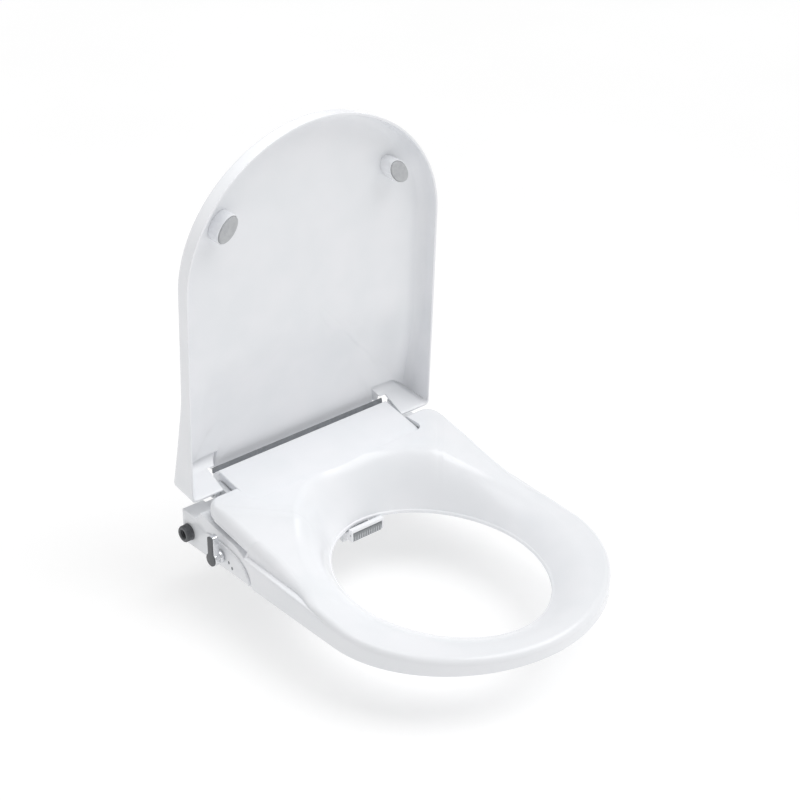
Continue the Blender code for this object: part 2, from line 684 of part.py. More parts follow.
Z0 = PLATE_Z0 + PLATE_T + GAP
housing = prism("base_housing", WHITE, slope_poly(COVER_BACK + 0.8 * MM, COVER_FRONT - 1.5 * MM, Z0,
    COVER_T + GAP), -COVER_HALF_W + 1.2 * MM, COVER_HALF_W - 1.2 * MM)
slab = box("slab_cutter", WHITE, (-BASE_HALF_W, BASE_HALF_W), (-BASE_FRONT, -BASE_BACK),
    (Z0, SLAB_Z - 4 * MM))
adds = [slab]
wing_top = lambda u: cover_z(u) - RAISED_H - 6 * MM
for side, s in (("left", 1), ("right", -1)):
    pts = [(BASE_BACK, Z0), (BASE_BACK, SLAB_Z), (16 * MM, SLAB_Z), (19 * MM, wing_top(19 * MM) - 3 * MM),
        (22 * MM, wing_top(22 * MM)), (BASE_FRONT, wing_top(BASE_FRONT))]
    zt = wing_top(BASE_FRONT)
    pts += [(BASE_FRONT + (WING_TIP - BASE_FRONT) * sin(pi / 2 * k / 8),
        Z0 + 0.2 * MM + (zt - Z0) * cos(pi / 2 * k / 8)) for k in range(1, 8)]
    pts += [(WING_TIP, Z0)]
    a, b = WING_IN * s, BASE_HALF_W * s
    wing = prism(f"wing_{side}_cutter", WHITE, pts, min(a, b), max(a, b))
    adds.append(wing)
cut(housing, adds, "UNION")
IW = COVER_HALF_W - 1.2 * MM - WALL
cav_block = prism("cavity_block", WHITE, slope_poly(COVER_BACK + 0.8 * MM + WALL,
    COVER_FRONT - 1.5 * MM - WALL, 0, COVER_T + GAP + WALL, WALL), -IW, IW)
cav_slab = box("cavity_slab", WHITE, (-BASE_HALF_W + WALL, BASE_HALF_W - WALL),
    (-BASE_FRONT + WALL, -BASE_BACK - WALL), (-0.01, SLAB_Z - 4 * MM - WALL))
cav_wings = [box(f"cavity_wing_{k}", WHITE, x, (-WING_TIP + 14 * MM, -40 * MM), (-0.01, 34 * MM)) for k,
    x in (("right", (-BASE_HALF_W + WALL, -WING_IN - WALL)), ("left", (WING_IN + WALL, BASE_HALF_W - WALL)))]
noz_win = box("nozzle_window_cutter", WHITE, (-GUARD_HALF_W + 1.5 * MM, GUARD_HALF_W - 1.5 * MM),
    (-0.11, -0.038), (-0.03, 14 * MM))
pin_hole = rod("pin_hole_cutter", WHITE, "X", (0, 0, AXIS_Z), PIN_R + GAP, -0.2, 0.2, 20)
inlet_hole = rod("inlet_hole_cutter", WHITE, "X", (0, -INLET_U, CTRL_Z), 7.2 * MM + GAP, -0.2, -0.155, 20)
lever_hole = rod("lever_hole_cutter", WHITE, "X", (0, -LEVER_U, CTRL_Z), 4.0 * MM + GAP, -0.2, -0.155, 20)
button_hole = box("button_hole_cutter", WHITE, (0.155, 0.2), (-34 * MM - GAP, -18 * MM + GAP),
    (16 * MM - GAP, 26 * MM + GAP))
cut(housing, [cav_block, cav_slab, *cav_wings, noz_win, pin_hole, inlet_hole, lever_hole, button_hole])

# top cover, rounded at its front corners
cover_pts = [(-COVER_HALF_W, -COVER_FRONT + COVER_R)] + [(-COVER_HALF_W + COVER_R * (1 - cos(a)),
    -COVER_FRONT + COVER_R * (1 - sin(a))) for a in [pi / 2 * k / 6 for k in range(1, 7)]]
cover_pts += [(-x, y) for x, y in reversed(cover_pts)]
cover_pts += [(COVER_HALF_W, -COVER_BACK), (-COVER_HALF_W, -COVER_BACK)]
bm = bmesh.new()
lo = [bm.verts.new((x, y, cover_z(-y) - COVER_T)) for x, y in cover_pts]
hi = [bm.verts.new((x, y, cover_z(-y))) for x, y in cover_pts]
bm.faces.new(lo)
bm.faces.new(hi)
for i in range(len(lo)):
    q = (i + 1) % len(lo)
    bm.faces.new((lo[i], lo[q], hi[q], hi[i]))
cover = from_bm(bm, "top_cover", WHITE)
add_bevel(cover, 1.0 * MM, 2, 50)

# base plate with its windows
plate_pts = [(-BASE_HALF_W + 1 * MM, -BASE_BACK - 1 * MM), (-BASE_HALF_W + 1 * MM, -WING_TIP + 4 * MM),
    (-WING_IN - 1 * MM, -WING_TIP + 4 * MM), (-WING_IN - 1 * MM, -BASE_FRONT + 1 * MM)]
plate_pts += [(-x, y) for x, y in reversed(plate_pts)]
plate = prism("base_plate", WHITE_IN, plate_pts, PLATE_Z0, PLATE_Z0 + PLATE_T, axis="Z")
win = box("plate_window_cutter", WHITE, (-99 * MM, 99 * MM), (-25 * MM, 11 * MM), (-0.01, 0.02))
cut(plate, [win, noz_win])

mount = box("mounting_plate", STEEL, (-98.5 * MM, 98.5 * MM), (-24.5 * MM, 10.5 * MM), (0.0, 4 * MM),
    bevel=0.6 * MM, seg=1)
slots = []
for side, s in (("left", 1), ("right", -1)):
    cxx = BOLT_X * s
    slots.append(box(f"slot_cutter_{side}", WHITE, (cxx - 12 * MM, cxx + 12 * MM),
        (-BOLT_R - GAP, BOLT_R + GAP), (-0.01, 0.02)))
    centre = (cxx, 0, 0)
    z = 4 * MM + GAP
    turned(f"bolt_{side}", STEEL, [(0, z + 5 * MM), (5.5 * MM, z + 5 * MM), (7 * MM, z + 3.6 * MM),
        (7 * MM, z), (BOLT_R, z), (BOLT_R, -BOLT_LEN + 2 * MM), (BOLT_R - 1 * MM, -BOLT_LEN),
        (0, -BOLT_LEN)], 16, along("Z", centre))
    turned(f"bolt_washer_{side}", BLACK_RUBBER, [(BOLT_R + GAP, -32 * MM), (14 * MM, -32 * MM),
        (14 * MM, -35 * MM), (9 * MM, -38 * MM), (BOLT_R + GAP, -38 * MM)], 20, along("Z", centre))
    nut = prism(f"bolt_nut_{side}", DARK, [(cxx + 13 * MM * cos(pi / 3 * k), 13 * MM * sin(pi / 3 * k))
        for k in range(6)], -48 * MM, -38.4 * MM, axis="Z")
    nb = rod(f"nut_bore_{side}", DARK, "Z", centre, BOLT_R + GAP, -60 * MM, -30 * MM, 16)
    cut(nut, nb)
cut(mount, slots)

for name, fx, fu in (("rear_left", 150, -4), ("rear_right", -150, -4), ("front_left", 160, 92),
        ("front_right", -160, 92)):
    turned(f"base_foot_{name}", BLACK_RUBBER, [(0, 0), (8 * MM, 0), (9 * MM, 0.5 * MM), (9 * MM, 1.2 * MM),
        (0, 1.2 * MM)], 16, along("Z", (fx * MM, -fu * MM, 0)))

# hinge pins and soft-close dampers
for side, s in (("left", 1), ("right", -1)):
    ax = "X" if s > 0 else "-X"
    turned(f"hinge_pin_{side}", STEEL, [(0, 99 * MM), (PIN_R, 99 * MM), (PIN_R, 144 * MM),
        (PIN_R - 0.8 * MM, 145 * MM), (0, 145 * MM)], 20, along(ax, (0, 0, AXIS_Z)))
    tube(f"damper_{side}", DARK, ax, (0, 0, AXIS_Z), PIN_R + GAP, 8.4 * MM, 84 * MM,
        COVER_HALF_W - 1.2 * MM - WALL - GAP - 0.2 * MM, 20)

# control panel on the user's right
px0 = -BASE_HALF_W - GAP
zt = wing_top(BASE_FRONT) - 1 * MM
pts = [(34 * MM, Z0 + 1 * MM), (34 * MM, 36 * MM), (40 * MM, 38 * MM), (66 * MM, 37 * MM)]
pts += [(66 * MM + (WING_TIP - 3 * MM - 66 * MM) * sin(pi / 2 * k / 8),
    Z0 + 1 * MM + (36 * MM - Z0) * cos(pi / 2 * k / 8)) for k in range(1, 8)]
pts += [(WING_TIP - 3 * MM, Z0 + 1 * MM)]
panel = prism("control_panel", WHITE, pts, px0 - 1.5 * MM, px0)
cut(panel, lever_hole)

# inlet
inlet = turned("inlet_fitting", DARK, [
    (INLET_BORE, -INLET_OUT), (INLET_R - 0.8 * MM, -INLET_OUT), (INLET_R, -INLET_OUT + 0.8 * MM)] +
    [(INLET_R - (0.7 * MM if k % 2 else 0), -INLET_OUT + 1.6 * MM + 1.5 * MM * k) for k in range(0, 5)] +
    [(INLET_R, -0.5 * MM), (INLET_R, -GAP), (7.2 * MM, -GAP), (7.2 * MM, 14 * MM), (INLET_BORE, 14 * MM)],
    24, Matrix.Translation((-BASE_HALF_W, -INLET_U, CTRL_Z)) @ Matrix.Rotation(pi / 2, 4, "Y"))
turned("inlet_filter", GREY, [(0, 2 * MM), (INLET_BORE - GAP, 2 * MM), (INLET_BORE - GAP, 3.5 * MM),
    (0, 3.5 * MM)], 20,
       Matrix.Translation((-BASE_HALF_W, -INLET_U, CTRL_Z)) @ Matrix.Rotation(pi / 2, 4, "Y"))
nut_x = -BASE_HALF_W + WALL + GAP
inlet_nut = prism("inlet_nut", WHITE_IN, [(INLET_U + 9.6 * MM * cos(pi / 3 * k + pi / 6),
    CTRL_Z + 9.6 * MM * sin(pi / 3 * k + pi / 6)) for k in range(6)], nut_x, nut_x + 5 * MM)
inb = rod("inlet_nut_bore", WHITE_IN, "X", (0, -INLET_U, CTRL_Z), 7.2 * MM + GAP, -0.2, -0.14, 20)
cut(inlet_nut, inb)

# lever, its cap and the valve
lever_axis = empty("lever_axis", (-BASE_HALF_W, -LEVER_U, CTRL_Z))
x1 = px0 - 1.5 * MM - 0.5 * MM
x0 = x1 - LEVER_OUT + 1.6 * MM
pts = eye(LEVER_U, CTRL_Z, HUB_R, radians(125), radians(415), 20)
pts += [(LEVER_U + LEVER_W / 2, CTRL_Z + LEVER_LEN - 2 * MM),
    (LEVER_U + LEVER_W / 2 - 2 * MM, CTRL_Z + LEVER_LEN), (LEVER_U - LEVER_W / 2 + 2 * MM,
    CTRL_Z + LEVER_LEN), (LEVER_U - LEVER_W / 2, CTRL_Z + LEVER_LEN - 2 * MM)]
lever = prism("control_lever", CHROME, pts, x0, x0 + LEVER_BAR_T)
hub = rod("lever_hub_added", CHROME, "X", (0, -LEVER_U, CTRL_Z), HUB_R - 0.6 * MM,
    x0 + LEVER_BAR_T - 1 * MM, x1, 20)
cut(lever, hub, "UNION")
pts2 = eye(LEVER_U, CTRL_Z, HUB_R - 0.4 * MM, radians(125), radians(415), 20)
w = LEVER_W / 2 - 0.4 * MM
pts2 += [(LEVER_U + w, CTRL_Z + LEVER_LEN - 2.4 * MM), (LEVER_U + w - 2 * MM,
    CTRL_Z + LEVER_LEN - 0.4 * MM), (LEVER_U - w + 2 * MM, CTRL_Z + LEVER_LEN - 0.4 * MM),
    (LEVER_U - w, CTRL_Z + LEVER_LEN - 2.4 * MM)]
cap = prism("lever_cap", DARK, pts2, x0 - GAP - 1.3 * MM, x0 - GAP)
spindle = rod("lever_spindle", STEEL, "X", (0, -LEVER_U, CTRL_Z), 4.0 * MM, x1 - 8 * MM,
    -BASE_HALF_W + 16 * MM, 16)
socket = rod("spindle_socket_cutter", STEEL, "X", (0, -LEVER_U, CTRL_Z), 4.0 * MM + GAP, x1 - 8 * MM - GAP,
    x1 + 0.01, 16)
cut(lever, socket)
hang(lever_axis, lever, cap, spindle, socket, hub)

vx0 = -BASE_HALF_W + WALL + 1.5 * MM
valve = turned("valve_body", WHITE_IN, [(4.3 * MM, vx0), (12 * MM, vx0), (12 * MM, vx0 + 20 * MM),
    (0, vx0 + 20 * MM), (0, vx0 + 13.5 * MM), (4.3 * MM, vx0 + 13.5 * MM)], 20,
    along("X", (0, -LEVER_U + 0 * MM, CTRL_Z)))

# ================================================================ nozzles
d_u, d_z = cos(NOZ_TILT), -sin(NOZ_TILT)


def noz(t):
    """Place on the nozzles' line, t measured back from the tip."""
    return NOZ_TIP_U - d_u * t, NOZ_TIP_Z - d_z * t


def tilted(x):
    """Matrix with local +Z pointing back along the nozzles' line from the tip."""
    return Matrix.Translation((x, -NOZ_TIP_U, NOZ_TIP_Z)) @ Matrix.Rotation(-(pi / 2 - NOZ_TILT), 4, "X")


def on_line(t, h):
    """(u, z) at a distance t behind the tip and h above the nozzles' line."""
    u, z = noz(t)
    return u - d_z * h, z + d_u * h


block = prism("nozzle_block", WHITE_IN, [on_line(7 * MM, -7.5 * MM), on_line(7 * MM, 7.5 * MM),
    on_line(44 * MM, 7.5 * MM), on_line(44 * MM, -7.5 * MM)], -19.5 * MM, 19.5 * MM)
bores = []
noz_axes = {}
for name, x in (("rear", -NOZ_X), ("front", NOZ_X)):
    b = turned(f"nozzle_bore_{name}", WHITE_IN, [(0, -0.01), (NOZ_R + GAP + 0.1 * MM, -0.01),
        (NOZ_R + GAP + 0.1 * MM, 0.1), (0, 0.1)], 16, tilted(x))
    bores.append(b)
    n = turned(f"nozzle_{name}", WHITE_IN, [(0, 0), (NOZ_R - 1 * MM, 0), (NOZ_R, 1 * MM), (NOZ_R, NOZ_LEN),
        (2 * MM, NOZ_LEN), (2 * MM, 6 * MM), (0, 6 * MM)], 16, tilted(x))
    e = empty(f"nozzle_{name}_axis", (x, -NOZ_TIP_U, NOZ_TIP_Z))
    hang(e, n)
    noz_axes[name] = e
cut(block, bores)

# hood round the nozzles, with the gate hanging from its pin
hood_z = 12.5 * MM
cheek = [(84 * MM, -3 * MM), (84 * MM, 5.5 * MM), (GUARD_U - 2.4 * MM, 5.5 * MM),
    (GUARD_U - 1.2 * MM, hood_z), (GUARD_U + 4 * MM, hood_z), (GUARD_U + 5 * MM, hood_z - 1.5 * MM),
    (GUARD_U + 4.5 * MM, -3 * MM)]
hood = prism("nozzle_hood", WHITE, cheek, -GUARD_HALF_W, GUARD_HALF_W)
inside = box("hood_inside_cutter", WHITE, (-GUARD_HALF_W + 2 * MM, GUARD_HALF_W - 2 * MM),
    (-GUARD_U - 0.02, -0.07), (-0.02, hood_z - 4 * MM))
gate_pin_u, gate_pin_z = GUARD_U + 1.9 * MM, 5.0 * MM
slot = box("hood_roof_cutter", WHITE, (-GUARD_HALF_W + 2 * MM, GUARD_HALF_W - 2 * MM), (-0.105, -0.05),
    (-0.02, 0.03))
pin_h = rod("gate_pin_hole_cutter", WHITE, "X", (0, -gate_pin_u, gate_pin_z), 1.0 * MM + 0.15 * MM, -0.03,
    0.03, 12)
cut(hood, [inside, slot, pin_h])
rod("gate_pin", STEEL, "X", (0, -gate_pin_u, gate_pin_z), 1.0 * MM, -GUARD_HALF_W + 0.2 * MM,
    GUARD_HALF_W - 0.2 * MM, 12)
gate = prism("nozzle_gate", GREY, eye(gate_pin_u, gate_pin_z, 2.2 * MM, radians(0), radians(180),
    6) + [(gate_pin_u - 1.2 * MM, -4.5 * MM), (gate_pin_u + 1.2 * MM, -4.5 * MM)], -GUARD_HALF_W + 2.4 * MM,
    GUARD_HALF_W - 2.4 * MM)
gb = rod("gate_bore_cutter", GREY, "X", (0, -gate_pin_u, gate_pin_z), 1.0 * MM + 0.15 * MM, -0.03, 0.03, 12)
cut(gate, gb)
gate_axis = empty("gate_axis", (0, -gate_pin_u, gate_pin_z))
hang(gate_axis, gate, gb)

# hoses inside the housing
hose("supply_hose", HOSE, [(-BASE_HALF_W + 14 * MM + GAP, -INLET_U, CTRL_Z), (-150 * MM, -4 * MM, CTRL_Z),
    (-145 * MM, -14 * MM, CTRL_Z), (-150 * MM, -32 * MM, CTRL_Z), (-158 * MM, -41 * MM, CTRL_Z),
    (-162 * MM, -46.5 * MM, CTRL_Z)], 4.0 * MM, 2)
end_u, end_z = noz(NOZ_LEN + 1.2 * MM)
for name, x, u0, z0, way in (
    ("rear", -NOZ_X, LEVER_U - 7 * MM, CTRL_Z - 6 * MM, [(-132, 52, -4), (-90, 40, 0), (-40, 30, 1),
        (-15, 28, -3)]),
    ("front", NOZ_X, LEVER_U + 1 * MM, CTRL_Z + 6 * MM, [(-132, 60, 8), (-90, 50, 11), (-30, 24, 12),
        (4, 14, 6)]),
):
    pts = [(vx0 + 21 * MM, -u0, z0), (vx0 + 26 * MM, -u0, z0)]
    pts += [(a * MM, -b * MM, CTRL_Z + c * MM) for a, b, c in way]
    pts += [(x, -(end_u - 9 * MM), end_z + 3.5 * MM), (x, -end_u, end_z)]
    hose(f"wash_hose_{name}", HOSE, pts, 2.6 * MM, 2)

# quick release button on the user's left
bx = BASE_HALF_W
button = box("release_button", GREY, (bx - WALL - 9 * MM, bx + 3 * MM), (-34 * MM, -18 * MM),
    (16 * MM, 26 * MM), bevel=1.0 * MM, seg=2)
button_axis = empty("release_axis", (bx, -26 * MM, 21 * MM))
hang(button_axis, button)
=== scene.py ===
"""Bidet toilet seat: ring seat, lid standing open, spray housing with its lever, water inlet and fixings."""

from math import atan2, cos, hypot, pi, radians, sin, sqrt

import bmesh
import bpy
from bpy.props import FloatProperty, FloatVectorProperty, IntProperty, PointerProperty, StringProperty
from mathutils import Matrix, Vector


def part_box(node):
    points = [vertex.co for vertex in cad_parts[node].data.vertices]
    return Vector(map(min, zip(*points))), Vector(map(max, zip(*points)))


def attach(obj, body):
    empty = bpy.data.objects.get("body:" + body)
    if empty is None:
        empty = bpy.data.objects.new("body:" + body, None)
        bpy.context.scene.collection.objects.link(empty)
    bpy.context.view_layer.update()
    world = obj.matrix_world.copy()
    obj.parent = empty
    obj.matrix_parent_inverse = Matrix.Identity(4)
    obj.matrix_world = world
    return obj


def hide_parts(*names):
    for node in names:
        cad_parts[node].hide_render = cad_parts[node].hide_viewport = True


bl_info = {
    "name": "Bidet Toilet Seat",
    "version": (1, 0, 0),
    "blender": (4, 5, 0),
    "location": "View3D > Sidebar > Bidet Seat",
    "description": "Builds the finished surfaces of a water-fed bidet seat around its fixed frame",
    "category": "Object",
}

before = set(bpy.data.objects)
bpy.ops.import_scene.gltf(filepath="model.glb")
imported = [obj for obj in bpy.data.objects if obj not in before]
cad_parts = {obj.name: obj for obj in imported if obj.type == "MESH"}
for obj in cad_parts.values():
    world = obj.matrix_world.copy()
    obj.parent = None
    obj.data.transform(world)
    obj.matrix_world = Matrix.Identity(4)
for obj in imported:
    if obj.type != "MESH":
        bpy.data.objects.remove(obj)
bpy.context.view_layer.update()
MM = 0.001

# ---- places shared with the frame, in metres; u is the distance in front of the hinge axis
AXIS_Z = 0.0620
SHOULDER_U = 0.0275
RIM_SLOPE = 0.055
RIM_DROP = 0.01406
RIM_ANGLE = atan2(RIM_SLOPE, 1.0)
HOLE_U = 0.2428
LIP_Z = 0.0130
SEAT_BOTTOM = 0.0060
LID_OPEN = radians(87.2)
CTRL_Z = 0.0200
EAR_IN = 0.1310
LEVER_U = 0.0630
LEVER_BAR_T = 0.008              # the lever's bar; its hub fills the rest of the lever's depth
LEVER_HUB_R = 0.0080
LID_CROWN = 0.0095               # dome of the lid's floor over the seat's raised rear part
LID_NOTCH = [(0.137, 0.03), (0.137, -0.022), (0.1265, -0.022), (0.1265, -0.013)]
GAP_SHADE_HALF_W = 0.1300              # half width of the grey strip behind the cover, painted shade filling the shadowed gap under the lid's edge
INLET_U = -0.0020
BASE_HALF_W = 0.1765
NOZ_TILT = radians(20)
NOZ_TIP = Vector((0.0, -0.0980, -0.0120))


# ============================================================ settings
class BidetSeatSizes(bpy.types.PropertyGroup):
    """Sizes of the seat ring and its opening"""

    length: FloatProperty(name="Seat Length", description="Hinge axis to the front tip of the ring",
        default=0.4389, unit="LENGTH")
    half_width: FloatProperty(name="Half Width", description="Half of the ring's widest measure",
        default=0.1818, unit="LENGTH")
    hole_half_length: FloatProperty(name="Hole Half Length",
        description="Half of the opening, front to back", default=0.1429, unit="LENGTH")
    hole_half_width: FloatProperty(name="Hole Half Width", description="Half of the opening, side to side",
        default=0.1135, unit="LENGTH")
    dish: FloatProperty(name="Dish Width", description="Width of the slope that runs down into the opening",
        default=0.045, unit="LENGTH")
    wall: FloatProperty(name="Wall", description="Thickness of the moulded skin", default=0.004,
        unit="LENGTH")


class BidetLidSizes(bpy.types.PropertyGroup):
    """Sizes of the lid"""

    length: FloatProperty(name="Lid Length", description="Hinge axis to the tip of the lid", default=0.4435,
        unit="LENGTH")
    half_width: FloatProperty(name="Half Width", description="Half of the lid's widest measure",
        default=0.1825, unit="LENGTH")
    wall: FloatProperty(name="Wall", description="Thickness of the lid", default=0.003, unit="LENGTH")
    depth: FloatProperty(name="Depth", description="Depth of the lid over its front part", default=0.024,
        unit="LENGTH")
    depth_rear: FloatProperty(name="Rear Depth", description="Depth of the lid at the hinge", default=0.042,
        unit="LENGTH")


class BidetFittingSizes(bpy.types.PropertyGroup):
    """Sizes of threads, ribs and other repeated details"""

    inlet_pitch: FloatProperty(name="Inlet Pitch", description="Rise of one turn of the inlet's thread",
        default=0.00181, unit="LENGTH")
    bolt_pitch: FloatProperty(name="Bolt Pitch", description="Rise of one turn of the bolt's thread",
        default=0.00125, unit="LENGTH")
    gate_ribs: IntProperty(name="Gate Ribs", description="Number of upright ribs on the spray gate",
        default=13, min=3)
    nut_ribs: IntProperty(name="Nut Ribs", description="Number of grip ribs round each wing nut",
        default=30, min=6)
    panel_edge: FloatProperty(name="Panel Edge",
        description="Radius of the raised line round the control panel", default=0.0006, unit="LENGTH")


class BidetColours(bpy.types.PropertyGroup):
    """Colours of the plastics, as sRGB hex values"""

    shell: StringProperty(name="Shell White", description="Gloss white of the ring, lid and housing",
        default="F2F3F6")
    inner: StringProperty(name="Inner White", description="Satin white of the hidden mouldings",
        default="E3E5E8")
    panel: StringProperty(name="Panel", description="Cool light grey of the control panel", default="E3E6E8")
    dark: StringProperty(name="Dark Grey", description="Dark plastic of the inlet and the lever's face",
        default="606265")
    pad: StringProperty(name="Pad Grey", description="Soft grey of the lid's bumpers", default="BEC0C2")
    floor: StringProperty(name="Floor", description="Pale floor under the seat", default="C4C4C4")


class BidetStage(bpy.types.PropertyGroup):
    """Camera and light"""

    lens: FloatProperty(name="Lens", description="Focal length of the camera in millimetres", default=98.64)
    distance: FloatProperty(name="Distance", description="Camera to the point it looks at", default=2.5682,
        unit="LENGTH")
    azimuth: FloatProperty(name="Azimuth", description="Camera's turn about the vertical",
        default=radians(-40.396), subtype="ANGLE")
    elevation: FloatProperty(name="Elevation", description="Camera's height as an angle",
        default=radians(29.329), subtype="ANGLE")
    target: FloatVectorProperty(name="Target", description="Point the camera looks at",
        default=(0.05843, -0.10353, 0.15609), subtype="XYZ")
    key: FloatProperty(name="Key Light", description="Strength of the large soft light from the upper right",
        default=1.4)
    top: FloatProperty(name="Top Light", description="Power of the soft light over the hinge", default=1.5,
        unit="POWER")
    fill: FloatProperty(name="Fill Light", description="Power of the soft light from the left", default=0.5,
        unit="POWER")
    sky: FloatProperty(name="Sky", description="Strength of the even light all round", default=0.52)


# ============================================================ shading
def linear(hexa):
    """sRGB hex value to linear RGBA."""
    out = []
    for k in (0, 2, 4):
        c = int(hexa[k:k + 2], 16) / 255
        out.append(c / 12.92 if c <= 0.04045 else ((c + 0.055) / 1.055) ** 2.4)
    return (*out, 1.0)


def add(tree, kind, feeds=None, **settings):
    """Adds a node; feeds maps an input to a value or to the socket that drives it."""
    node = tree.nodes.new(kind)
    for key, value in settings.items():
        setattr(node, key, value)
    for key, value in (feeds or {}).items():
        if isinstance(value, bpy.types.NodeSocket):
            tree.links.new(value, node.inputs[key])
        else:
            node.inputs[key].default_value = value
    return node


def surface(name, roughness, metallic=0.0, ior=1.5, coat=0.0):
    """A material with its shader and the object's own coordinates."""
    m = bpy.data.materials.new(name)
    m.use_nodes = True
    t = m.node_tree
    shader = t.nodes["Principled BSDF"]
    shader.inputs["Roughness"].default_value = roughness
    shader.inputs["Metallic"].default_value = metallic
    shader.inputs["IOR"].default_value = ior
    if coat:
        shader.inputs["Coat Weight"].default_value = coat
        shader.inputs["Coat Roughness"].default_value = 0.08
    place = add(t, "ShaderNodeTexCoord").outputs["Object"]
    return m, t, shader, place


def blotch(t, place, size_mm, low, high, detail=3.0, vary=(0.35, 0.65)):
    """Noise of a real size, spread between two values."""
    n = add(t, "ShaderNodeTexNoise", {"Vector": place, "Scale": 1.0 / (size_mm * MM), "Detail": detail,
        "Roughness": 0.55})
    return add(t, "ShaderNodeMapRange", {"Value": n.outputs["Fac"], "From Min": vary[0],
        "From Max": vary[1], "To Min": low, "To Max": high}).outputs["Result"]


def two_tone(t, fac, a, b):
    """Blend of two linear colours."""
    return add(t, "ShaderNodeMix", {0: fac, 6: a, 7: b}, data_type="RGBA").outputs[2]


def relief(t, shader, height, strength, distance):
    b = add(t, "ShaderNodeBump", {"Height": height, "Strength": strength, "Distance": distance})
    t.links.new(b.outputs["Normal"], shader.inputs["Normal"])
    return b


def moulded_polypropylene(name, base, shade):
    """Injection-moulded gloss polypropylene: a deep white with a faint orange peel from the polished tool,
    and a slow drift in gloss where the melt flowed."""
    m, t, s, place = surface(name, 0.2, ior=1.49)
    tone = blotch(t, place, 70, 0.0, 1.0, 2.0)
    t.links.new(two_tone(t, tone, base, shade), s.inputs["Base Color"])
    t.links.new(blotch(t, place, 24, 0.17, 0.245, 4.0), s.inputs["Roughness"])
    peel = add(t, "ShaderNodeTexNoise", {"Vector": place, "Scale": 1.0 / (3.2 * MM), "Detail": 2.0,
        "Roughness": 0.4})
    relief(t, s, peel.outputs["Fac"], 0.05, 0.0002)
    return m


def satin_polypropylene(name, base, shade):
    """The same plastic from an etched tool: a fine even grain, drawn at 0.7 mm so that it shows."""
    m, t, s, place = surface(name, 0.42, ior=1.49)
    t.links.new(two_tone(t, blotch(t, place, 35, 0.0, 1.0), base, shade), s.inputs["Base Color"])
    t.links.new(blotch(t, place, 9, 0.36, 0.5), s.inputs["Roughness"])
    grain = add(t, "ShaderNodeTexVoronoi", {"Vector": place, "Scale": 1.0 / (0.7 * MM)})
    relief(t, s, grain.outputs["Distance"], 0.12, 0.0001)
    return m


def etched_abs(name, base, shade, rough=(0.34, 0.5)):
    """ABS with the leathery spark-eroded grain of control parts, about 0.5 mm apart."""
    m, t, s, place = surface(name, 0.42, ior=1.53)
    t.links.new(two_tone(t, blotch(t, place, 12, 0.0, 1.0), base, shade), s.inputs["Base Color"])
    t.links.new(blotch(t, place, 5, rough[0], rough[1]), s.inputs["Roughness"])
    grain = add(t, "ShaderNodeTexNoise", {"Vector": place, "Scale": 1.0 / (0.5 * MM), "Detail": 3.0})
    relief(t, s, grain.outputs["Fac"], 0.18, 0.0001)
    return m


def plated_chrome(name):
    """Chrome plate on plastic: a bright mirror with faint wiping smears."""
    m, t, s, place = surface(name, 0.08, metallic=1.0)
    t.links.new(two_tone(t, blotch(t, place, 14, 0.0, 1.0), linear("EDEEF0"), linear("DEE0E3")),
        s.inputs["Base Color"])
    stretch = add(t, "ShaderNodeMapping", {"Vector": place, "Scale": (1.0, 1.0, 0.2)})
    t.links.new(blotch(t, stretch.outputs["Vector"], 2.5, 0.14, 0.27, 4.0), s.inputs["Roughness"])
    return m


def drawn_stainless(name):
    """Stainless bar and wire: fine drawing lines along Z, drawn 0.3 mm apart."""
    m, t, s, place = surface(name, 0.3, metallic=1.0)
    stretch = add(t, "ShaderNodeMapping", {"Vector": place, "Scale": (1.0, 1.0, 0.04)})
    t.links.new(two_tone(t, blotch(t, stretch.outputs["Vector"], 0.6, 0.0, 1.0), linear("BFC0C1"),
        linear("A3A5A8")), s.inputs["Base Color"])
    lines = add(t, "ShaderNodeTexNoise", {"Vector": stretch.outputs["Vector"], "Scale": 1.0 / (0.3 * MM),
        "Detail": 2.0})
    t.links.new(blotch(t, stretch.outputs["Vector"], 1.2, 0.24, 0.4), s.inputs["Roughness"])
    relief(t, s, lines.outputs["Fac"], 0.1, 0.0001)
    return m


def soft_elastomer(name, base, shade):
    """Thermoplastic rubber: matt, with a powdery bloom and a fine pebble."""
    m, t, s, place = surface(name, 0.62, ior=1.5)
    t.links.new(two_tone(t, blotch(t, place, 6, 0.0, 1.0, 4.0), base, shade), s.inputs["Base Color"])
    t.links.new(blotch(t, place, 3, 0.5, 0.72), s.inputs["Roughness"])
    pebble = add(t, "ShaderNodeTexVoronoi", {"Vector": place, "Scale": 1.0 / (0.6 * MM)})
    relief(t, s, pebble.outputs["Distance"], 0.15, 0.0001)
    s.inputs["Sheen Weight"].default_value = 0.15
    return m


def silicone_hose(name):
    """Milky silicone tube with faint extrusion bands 4 mm apart."""
    m, t, s, place = surface(name, 0.35, ior=1.42)
    bands = add(t, "ShaderNodeTexWave", {"Vector": place, "Scale": 1.0 / (4 * MM) / 6.0, "Distortion": 2.0,
        "Detail": 2.0})
    t.links.new(two_tone(t, bands.outputs["Fac"], linear("D5D9DB"), linear("C3C8CB")), s.inputs["Base Color"])
    t.links.new(blotch(t, place, 4, 0.3, 0.42), s.inputs["Roughness"])
    return m


MATERIALS = {}


